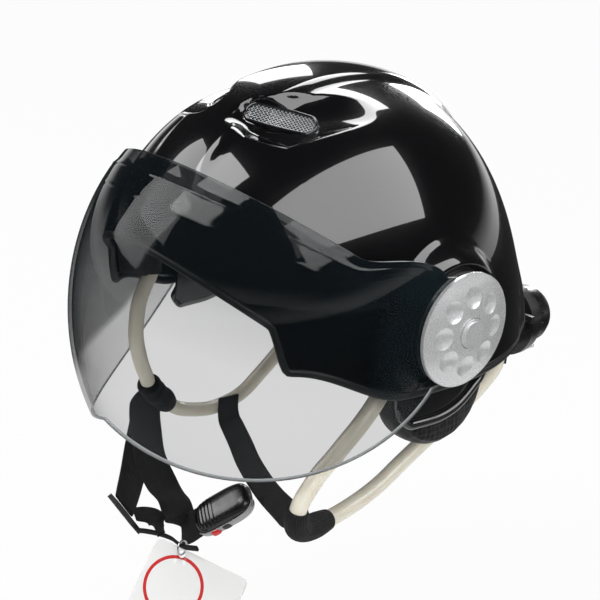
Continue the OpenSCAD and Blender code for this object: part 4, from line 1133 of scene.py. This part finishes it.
def tag_sheet():
    """Hang tag: a thin card of 62 by 84 mm with round corners and a punched hole, bowed by a slow arch along it.

    UV is in cm from the hole.
    """
    across = unit([0.82, 0.51, -0.25])
    down = unit(np.cross(across, np.cross([0.1, -0.56, -0.82], across)))
    face = np.cross(down, across)
    hole = np.array([-18.0, -79.0, -172.0 - 4.6])
    a = turns(220)
    half = np.array([31.0, 42.0])
    out = np.stack([signed_power(cos(a), 0.09), signed_power(sin(a), 0.09)], -1) * half
    middle = np.array([13.0, -38.9])
    ring = 2.2 * np.stack([cos(a), sin(a)], -1)
    share = np.linspace(0, 1, 24)[:, None, None] ** 0.8
    flat = mix(ring[None], (out + middle)[None], share)
    arch = 0.35 * np.sin(np.pi * (flat[..., 1] - middle[1] + half[1]) / (2 * half[1])) - 0.2

    def lift(h):
        return hole + flat[..., :1] * across + flat[..., 1:] * -down + (arch + h)[..., None] * face

    rings = np.concatenate([lift(0.42), lift(-0.42)[::-1]])
    uv = np.concatenate([flat, flat[::-1]]) / 10
    piece = torus("tag_card", rings, CARD, uv)
    return on_body(piece, "tag_card", "hang_tag", body="tag")


tag_sheet()


# Camera, floor and light
def camera():
    """The photograph's view: 48 degrees round from the face to the wearer's left and 20 above."""
    data = bpy.data.cameras.new("camera")
    data.sensor_width, data.lens, data.clip_start = 36, 71.87, 0.02
    eye = bpy.data.objects.new("camera", data)
    scene.collection.objects.link(eye)
    az, el, roll = 0.84168191, 0.35161301, 0.07029837
    back = np.array([np.sin(az) * np.cos(el), -np.cos(az) * np.cos(el), np.sin(el)])
    right = np.array([np.cos(az), np.sin(az), 0.0])
    up = np.cross(back, right)
    side = np.cos(roll) * right + np.sin(roll) * up
    head = -np.sin(roll) * right + np.cos(roll) * up
    place = Matrix(np.stack([side, head, back], 1).tolist()).to_4x4()
    place.translation = (0.49237264, -0.45341196, 0.22435383)
    eye.matrix_world = place
    scene.camera = eye


def lamp(name, place, aim, size, power, glossy_only=False):
    """Square soft lamp that looks at a point."""
    data = bpy.data.lights.new(name, "AREA")
    data.shape = "RECTANGLE"
    data.size, data.size_y = size
    data.energy = power
    made = bpy.data.objects.new(name, data)
    scene.collection.objects.link(made)
    made.location = place
    made.rotation_euler = (Vector(aim) - Vector(place)).to_track_quat("-Z", "Y").to_euler()
    made.visible_camera = made.visible_transmission = False
    made.visible_diffuse = not glossy_only
    return made


def bearing(azimuth, elevation, distance):
    """Place in metres at an azimuth from the brow, an elevation and a distance."""
    level = cos(elevation)
    return tuple(distance * np.array([sin(azimuth) * level, -cos(azimuth) * level, sin(elevation)]))


def world():
    """White for the camera, a white sweep that darkens overhead for shine, and an even soft light for the rest."""
    made = bpy.data.worlds.new("studio")
    scene.world = made
    made.use_nodes = True
    w = Nodes(made.node_tree)
    ray = w.node("ShaderNodeLightPath").outputs
    height = w.node("ShaderNodeSeparateXYZ", w.node("ShaderNodeTexCoord").outputs["Generated"]).outputs["Z"]
    sweep = w.node("ShaderNodeMapRange", Value=height, From_Min=0.01, From_Max=0.11, To_Min=1.0, To_Max=0.03)
    shine = w.node("ShaderNodeMix")
    for place, value in ((0, ray["Is Glossy Ray"]), (2, 0.5), (3, sweep.outputs["Result"])):
        w.put(value, shine.inputs[place])
    seen = w.sum("MAXIMUM", ray["Is Camera Ray"], ray["Is Transmission Ray"])
    back = w.tree.nodes["Background"]
    w.put((1, 1, 1, 1), back.inputs["Color"])
    w.put(w.sum("MAXIMUM", shine.outputs[0], seen), back.inputs["Strength"])


def floor():
    """Pale floor that keeps the shadow: nearly white for the camera, and pale for shine only under the helmet."""
    f = Finish("floor_white", (0.9, 0.9, 0.9), 0.9, Specular_IOR_Level=0.0)
    ray = f.node("ShaderNodeLightPath").outputs
    seen = f.sum("MULTIPLY", f.sum("ADD", ray["Is Camera Ray"], ray["Is Transmission Ray"]), 0.95)
    glow = f.node("ShaderNodeEmission", Color=(1, 1, 1, 1))
    blend = f.node("ShaderNodeMixShader", seen, f.shader.outputs[0], glow.outputs[0])
    reach = f.node("ShaderNodeVectorMath", f.place(), operation="LENGTH").outputs["Value"]
    near = f.node("ShaderNodeEmission", Color=f.steps(reach, (0.5, 0.85), (0.56, 0.03)))
    shine = f.node("ShaderNodeMixShader", ray["Is Glossy Ray"], blend.outputs[0], near.outputs[0])
    f.put(shine.outputs[0], f.tree.nodes["Material Output"].inputs["Surface"])
    corners = [(x, y, FLOOR) for x, y in ((-6e3, -6e3), (6e3, -6e3), (6e3, 6e3), (-6e3, 6e3))]
    make_mesh("floor", corners, [[0, 1, 2, 3]], f.material, smooth=False)


camera()
world()
floor()
lamp("key", (-0.35, -1.1, 1.5), (0, 0, 0), (0.8, 0.8), 16)
lamp("fill", bearing(70, 22, 1.5), (0, 0, -0.05), (1.2, 1.0), 9).visible_glossy = False
lamp("side_box", bearing(99, 45, 1.35), (0.05, 0, 0.05), (1.9, 0.9), 32, True)
lamp("front_box", bearing(-40, 30, 1.3), (0, -0.05, 0.03), (0.75, 0.8), 10, True)
lamp("rim_box", bearing(-154, 17, 1.3), (0, 0, 0), (0.3, 0.35), 6, True)
lamp("spine_box", bearing(-122, 27, 1.3), (0, 0, 0.1), (0.28, 0.45), 2.0, True)
lamp("crown_box", bearing(-152, 58, 1.4), (0, 0, 0.05), (0.6, 0.6), 12, True)
scene.view_settings.view_transform = "Standard"
